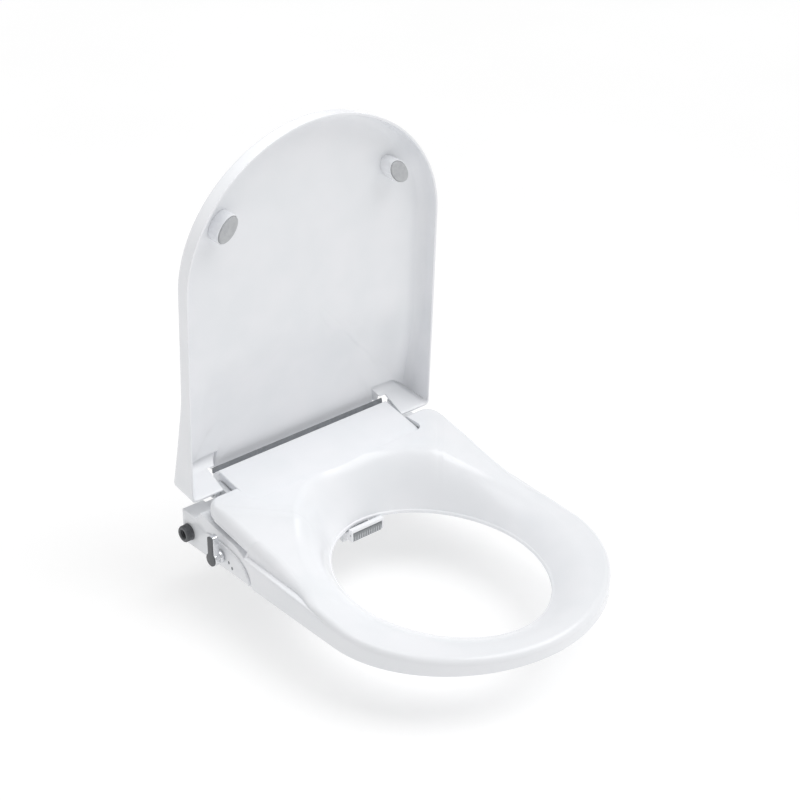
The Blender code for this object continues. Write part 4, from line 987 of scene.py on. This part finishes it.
def key_outline(r, half, tall, n=40):
    """Keyhole outline in (u, z): a round hub with a straight bar rising from it."""
    a0 = pi / 2 + atan2(half, sqrt(r * r - half * half))
    a1 = pi / 2 + 2 * pi - atan2(half, sqrt(r * r - half * half))
    pts = [(r * cos(a0 + (a1 - a0) * k / n), r * sin(a0 + (a1 - a0) * k / n)) for k in range(n + 1)]
    c = half * 0.55
    for k in range(0, 9):
        a = pi / 2 * k / 8
        pts.append((half - c + c * cos(a), tall - c + c * sin(a)))
    for k in range(0, 9):
        a = pi / 2 + pi / 2 * k / 8
        pts.append((-half + c + c * cos(a), tall - c + c * sin(a)))
    return [(LEVER_U + u, CTRL_Z + z) for u, z in pts]


class BIDET_OT_lever(bpy.types.Operator):
    """Wash lever: a plated bar on a round hub, with a dark face"""

    bl_idname = "bidet.lever"
    bl_label = "Wash Lever"

    def execute(self, context):
        lo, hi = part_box("control_lever")
        bar_in = lo.x + LEVER_BAR_T
        body = prism("lever_bar", key_outline(0.0086, 0.005, 0.031), lo.x, bar_in, "X")
        chamfer(body, 0.0007, 3, 40)
        settle(body, 40)
        finish_piece(body, "lever", "chrome", ("control_lever",))
        reach, r = hi.x - bar_in, LEVER_HUB_R
        prof = [(0, 0.0), (r - 0.0012, 0.0), (r - 0.0004, 0.0003), (r, 0.0010), (r, reach - 0.0008)]
        prof += [(r - 0.0008, reach), (0, reach)]
        hub = turned("lever_hub", prof, 64, side_place(LEVER_U, CTRL_Z, bar_in))
        finish_piece(hub, "lever", "chrome", ())
        lo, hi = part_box("lever_cap")
        cap = prism("lever_face", key_outline(0.0081, 0.0046, 0.0305), lo.x, hi.x + 0.0002, "X")
        chamfer(cap, 0.0004, 3, 40)
        settle(cap, 40)
        finish_piece(cap, "lever", "dark", ("lever_cap",))
        paint("dark", "lever_spindle")
        return {"FINISHED"}


def panel_edge_points():
    z0, tip = 0.005, 0.116
    pts = [(0.034, z0), (0.034, 0.036), (0.040, 0.038), (0.066, 0.037)]
    for k in range(1, 17):
        a = pi / 2 * k / 16
        pts.append((0.066 + (tip - 0.066) * sin(a), z0 + 0.032 * cos(a)))
    return pts


def drop_icon(u, z, size, n=20):
    """A plain water drop drawn round (u, z)."""
    pts = []
    for k in range(n):
        a = 2 * pi * k / n
        r = size * (1 - 0.42 * sin(a)) * 0.5
        pts.append((u + r * cos(a) * 0.8, z + r * sin(a) * 1.25))
    return pts


class BIDET_OT_panel(bpy.types.Operator):
    """Control panel with a raised line round its front curve and two small marks"""

    bl_idname = "bidet.panel"
    bl_label = "Control Panel"

    def execute(self, context):
        f = context.scene.bidet_fittings
        softened("control_panel", "panel_plate", "base", "shell", 0.0005, 3)
        lo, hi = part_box("control_panel")
        curve = panel_edge_points()[3:]
        edge = follow("panel_raised_line", [(lo.x - 0.0001, -u + 0.0012, z - 0.0008) for u, z in curve],
            f.panel_edge)
        finish_piece(edge, "base", "shell", ())
        for i, (u, z) in enumerate(((0.0775, 0.0180), (0.0835, 0.0130))):
            mark = prism(f"panel_mark_{i + 1}", drop_icon(u, z, 0.0036), lo.x - 0.00008, lo.x + 0.0002, "X")
            finish_piece(mark, "base", "ink", ())
        return {"FINISHED"}


# ============================================================ nozzles
def nozzle_place(x, t=0.0):
    return Matrix.Translation(Vector((x, 0, 0)) + NOZ_TIP) @ Matrix.Rotation(-(pi / 2 - NOZ_TILT), 4,
        "X") @ Matrix.Translation((0, 0, t))


class BIDET_OT_nozzles(bpy.types.Operator):
    """Two wash nozzles, the hood over them and its ribbed swinging gate"""

    bl_idname = "bidet.nozzles"
    bl_label = "Nozzles"

    def execute(self, context):
        f = context.scene.bidet_fittings
        softened("nozzle_hood", "spray_hood", "base", "shell", 0.0005, 3)
        softened("nozzle_block", "nozzle_guide", "base", "inner", 0.0004, 2)
        # The gate leaf is mid grey under pale ribs, so the gaps between the ribs show as dark lines: painted
        # shade in the grooves, added to the shade the round ribs cast
        softened("nozzle_gate", "gate_leaf", "gate", "mid", 0.0003, 2)
        lo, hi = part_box("nozzle_gate")
        n = f.gate_ribs
        step = (hi.x - lo.x - 0.002) / (n - 1)
        ribs = grow("gate_ribs", "ribs", Matrix.Translation((lo.x + 0.001, -0.1111, lo.z + 0.0003)), "pale",
                    Count=n, Step=(step, 0, 0), Rib=(0, 0, 0.0086), Radius=0.0009)
        finish_piece(ribs, "gate", "pale", ())
        paint("steel", "gate_pin")
        for name, x in (("rear", -0.0095), ("front", 0.0095)):
            prof = [(0, 0.0), (0.0026, 0.0), (0.0036, 0.0004), (0.0043, 0.0014), (0.0045, 0.0026),
                (0.0045, 0.0518), (0.0043, 0.052), (0.002, 0.052), (0.002, 0.006), (0, 0.006)]
            tip = turned(f"wash_nozzle_{name}", prof, 40, nozzle_place(x))
            finish_piece(tip, f"{name}_nozzle", "shell", (f"nozzle_{name}",))
            # Black discs at each nozzle's tip: painted shade for the dark insides of the spray holes
            holes = grow(f"spray_hole_shades_{name}", "round",
                nozzle_place(x) @ Matrix.Translation((0, 0, -0.00002)), "dark",
                         Count=6 if name == "rear" else 5, Radius=0.0016, Height=0.0004, Rod=0.0004)
            finish_piece(holes, f"{name}_nozzle", "black", ())
        return {"FINISHED"}


# ============================================================ fixings
class BIDET_OT_fixings(bpy.types.Operator):
    """Bolts, washers and wing nuts for the bowl, and the soft feet and buffers"""

    bl_idname = "bidet.fixings"
    bl_label = "Fixings"

    def execute(self, context):
        f = context.scene.bidet_fittings
        for side, sx in (("left", 1), ("right", -1)):
            at = Matrix.Translation((0.070 * sx, 0, 0))
            prof = [(0, 0.0093), (0.0030, 0.0093), (0.0054, 0.0090), (0.0066, 0.0082), (0.0070, 0.0073),
                (0.0070, 0.0046), (0.0067, 0.0043), (0.0033, 0.0043),
                    (0.0033, -0.0605), (0.0024, -0.0620), (0, -0.0620)]
            bolt = turned(f"fixing_bolt_{side}", prof, 40, at)
            finish_piece(bolt, "base", "steel", (f"bolt_{side}",))
            turns = 0.058 / f.bolt_pitch
            thread = grow(f"bolt_thread_{side}", "thread", at @ Matrix.Translation((0, 0, -0.0600)), "steel",
                          Radius=0.00325, Turns=turns, Length=0.058, Ridge=0.00034)
            finish_piece(thread, "base", "steel", ())
            prof = [(0.0039, -0.0322), (0.0134, -0.0322), (0.0139, -0.0327), (0.0139, -0.0347),
                (0.0132, -0.0356), (0.0094, -0.0376), (0.0088, -0.0380), (0.0039, -0.0380)]
            washer = turned(f"cone_washer_{side}", prof, 56, at)
            finish_piece(washer, "base", "rubber", (f"bolt_washer_{side}",))
            prof = [(0.0039, -0.0385), (0.0102, -0.0385), (0.0108, -0.0391), (0.0110, -0.0400),
                (0.0110, -0.0468), (0.0104, -0.0476), (0.0096, -0.0480), (0.0039, -0.0480)]
            nut = turned(f"hand_nut_{side}", prof, 60, at)
            finish_piece(nut, "base", "inner", (f"bolt_nut_{side}",))
            grip = grow(f"nut_grip_{side}", "round", at @ Matrix.Translation((0, 0, -0.0474)), "inner",
                        Count=f.nut_ribs, Radius=0.0108, Height=0.0080, Rod=0.0005)
            finish_piece(grip, "base", "inner", ())
        for node in ("base_foot_front_left", "base_foot_front_right", "base_foot_rear_left",
                "base_foot_rear_right"):
            softened(node, node.replace("base_foot", "foot_pad"), "base", "rubber", 0.0002, 2)
        for node in ("seat_buffer_front_left", "seat_buffer_front_right", "seat_buffer_rear_left",
                "seat_buffer_rear_right"):
            lo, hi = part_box(node)
            cx, cy, top = (lo.x + hi.x) / 2, (lo.y + hi.y) / 2, hi.z
            prof = [(0, 0.0003), (0.0062, 0.0003), (0.0071, 0.0006), (0.0077, 0.0012), (0.0079, 0.0020),
                (0.0079, 0.0052), (0.0074, 0.0060), (0.0056, 0.0067), (0.0054, 0.0074), (0.0054, top),
                (0, top)]
            pad = turned(node.replace("seat_buffer", "buffer_pad"), prof, 48, Matrix.Translation((cx, cy, 0)))
            finish_piece(pad, "seat", "rubber", (node,))
        return {"FINISHED"}


# ============================================================ stage
class BIDET_OT_stage(bpy.types.Operator):
    """Pale lit floor, soft lights and the camera"""

    bl_idname = "bidet.stage"
    bl_label = "Stage"

    def execute(self, context):
        g = context.scene.bidet_stage
        c = context.scene.bidet_colours
        bm = bmesh.new()
        bmesh.ops.create_grid(bm, x_segments=2, y_segments=2, size=6.0)
        bmesh.ops.translate(bm, vec=(0, 0, -0.0625), verts=bm.verts)
        floor = solid("floor", bm)
        m, t, s, place = surface("opal_acrylic_table", 0.7)
        t.links.new(two_tone(t, blotch(t, place, 400, 0.0, 1.0), linear(c.floor), linear("C2C2C2")),
            s.inputs["Base Color"])
        s.inputs["Specular IOR Level"].default_value = 0.1
        s.inputs["Emission Color"].default_value = (1.0, 1.0, 1.0, 1.0)
        s.inputs["Emission Strength"].default_value = 0.5
        floor.data.materials.append(m)

        world = bpy.data.worlds.new("studio_air")
        context.scene.world = world
        world.use_nodes = True
        back = world.node_tree.nodes["Background"]
        back.inputs["Color"].default_value = (1.0, 1.0, 1.0, 1.0)
        back.inputs["Strength"].default_value = g.sky

        def area(name, at, aim, size, power):
            light = bpy.data.lights.new(name, "AREA")
            light.shape = "RECTANGLE"
            light.size, light.size_y = size
            light.energy = power
            ob = bpy.data.objects.new(name, light)
            ob.location = at
            ob.rotation_euler = (Vector(aim) - Vector(at)).to_track_quat("-Z", "Y").to_euler()
            context.scene.collection.objects.link(ob)
        mid = (0, -0.2, 0.15)
        key = bpy.data.lights.new("key_softbox", "SUN")
        key.energy = g.key
        key.angle = radians(48)
        ob = bpy.data.objects.new("key_softbox", key)
        ob.rotation_euler = Vector((-0.42, 0.30, -0.86)).to_track_quat("-Z", "Y").to_euler()
        context.scene.collection.objects.link(ob)
        area("top_softbox", (-0.20, 0.0, 0.98), (-0.10, -0.12, 0.0), (0.7, 0.5), g.top)
        area("strip_softbox", (-1.6, -1.6, 1.3), mid, (0.5, 1.8), g.fill)

        az, el, roll = g.azimuth, g.elevation, radians(-0.13)
        away = Vector((sin(az) * cos(el), -cos(az) * cos(el), sin(el)))
        right = Vector((cos(az), sin(az), 0))
        up = away.cross(right)
        turned_right = right * cos(roll) + up * sin(roll)
        turned_up = up * cos(roll) - right * sin(roll)
        data = bpy.data.cameras.new("camera")
        data.sensor_width = 36
        data.lens = g.lens
        data.clip_end = 20
        cam = bpy.data.objects.new("camera", data)
        place = Matrix((turned_right, turned_up, away)).transposed().to_4x4()
        place.translation = Vector(g.target) + away * g.distance
        cam.matrix_world = place
        context.scene.collection.objects.link(cam)
        context.scene.camera = cam
        context.scene.view_settings.view_transform = "Standard"
        return {"FINISHED"}


# ============================================================ sidebar
PIECES = (BIDET_OT_ring, BIDET_OT_lid, BIDET_OT_bumpers, BIDET_OT_cover, BIDET_OT_housing, BIDET_OT_inlet,
    BIDET_OT_lever, BIDET_OT_panel, BIDET_OT_nozzles, BIDET_OT_fixings, BIDET_OT_stage)
SETTINGS = {"bidet_seat": BidetSeatSizes, "bidet_lid": BidetLidSizes, "bidet_fittings": BidetFittingSizes,
    "bidet_colours": BidetColours, "bidet_stage": BidetStage}


class BIDET_PT_panel(bpy.types.Panel):
    """Sizes, colours and the pieces of the bidet seat"""

    bl_label = "Bidet Seat"
    bl_idname = "BIDET_PT_panel"
    bl_space_type = "VIEW_3D"
    bl_region_type = "UI"
    bl_category = "Bidet Seat"

    def draw(self, context):
        for name, group in SETTINGS.items():
            col = self.layout.column(align=True)
            col.label(text=group.__doc__)
            for key in group.__annotations__:
                col.prop(getattr(context.scene, name), key)
        col = self.layout.column()
        for op in PIECES:
            col.operator(op.bl_idname)


CLASSES = (*SETTINGS.values(), *PIECES, BIDET_PT_panel)


def register():
    for c in CLASSES:
        bpy.utils.register_class(c)
    for name, group in SETTINGS.items():
        setattr(bpy.types.Scene, name, PointerProperty(type=group))


def unregister():
    for name in SETTINGS:
        delattr(bpy.types.Scene, name)
    for c in reversed(CLASSES):
        bpy.utils.unregister_class(c)


def main():
    register()
    make_materials(bpy.context.scene.bidet_colours)
    for op in PIECES:
        group, name = op.bl_idname.split(".")
        getattr(getattr(bpy.ops, group), name)()


if __name__ == "__main__":
    main()
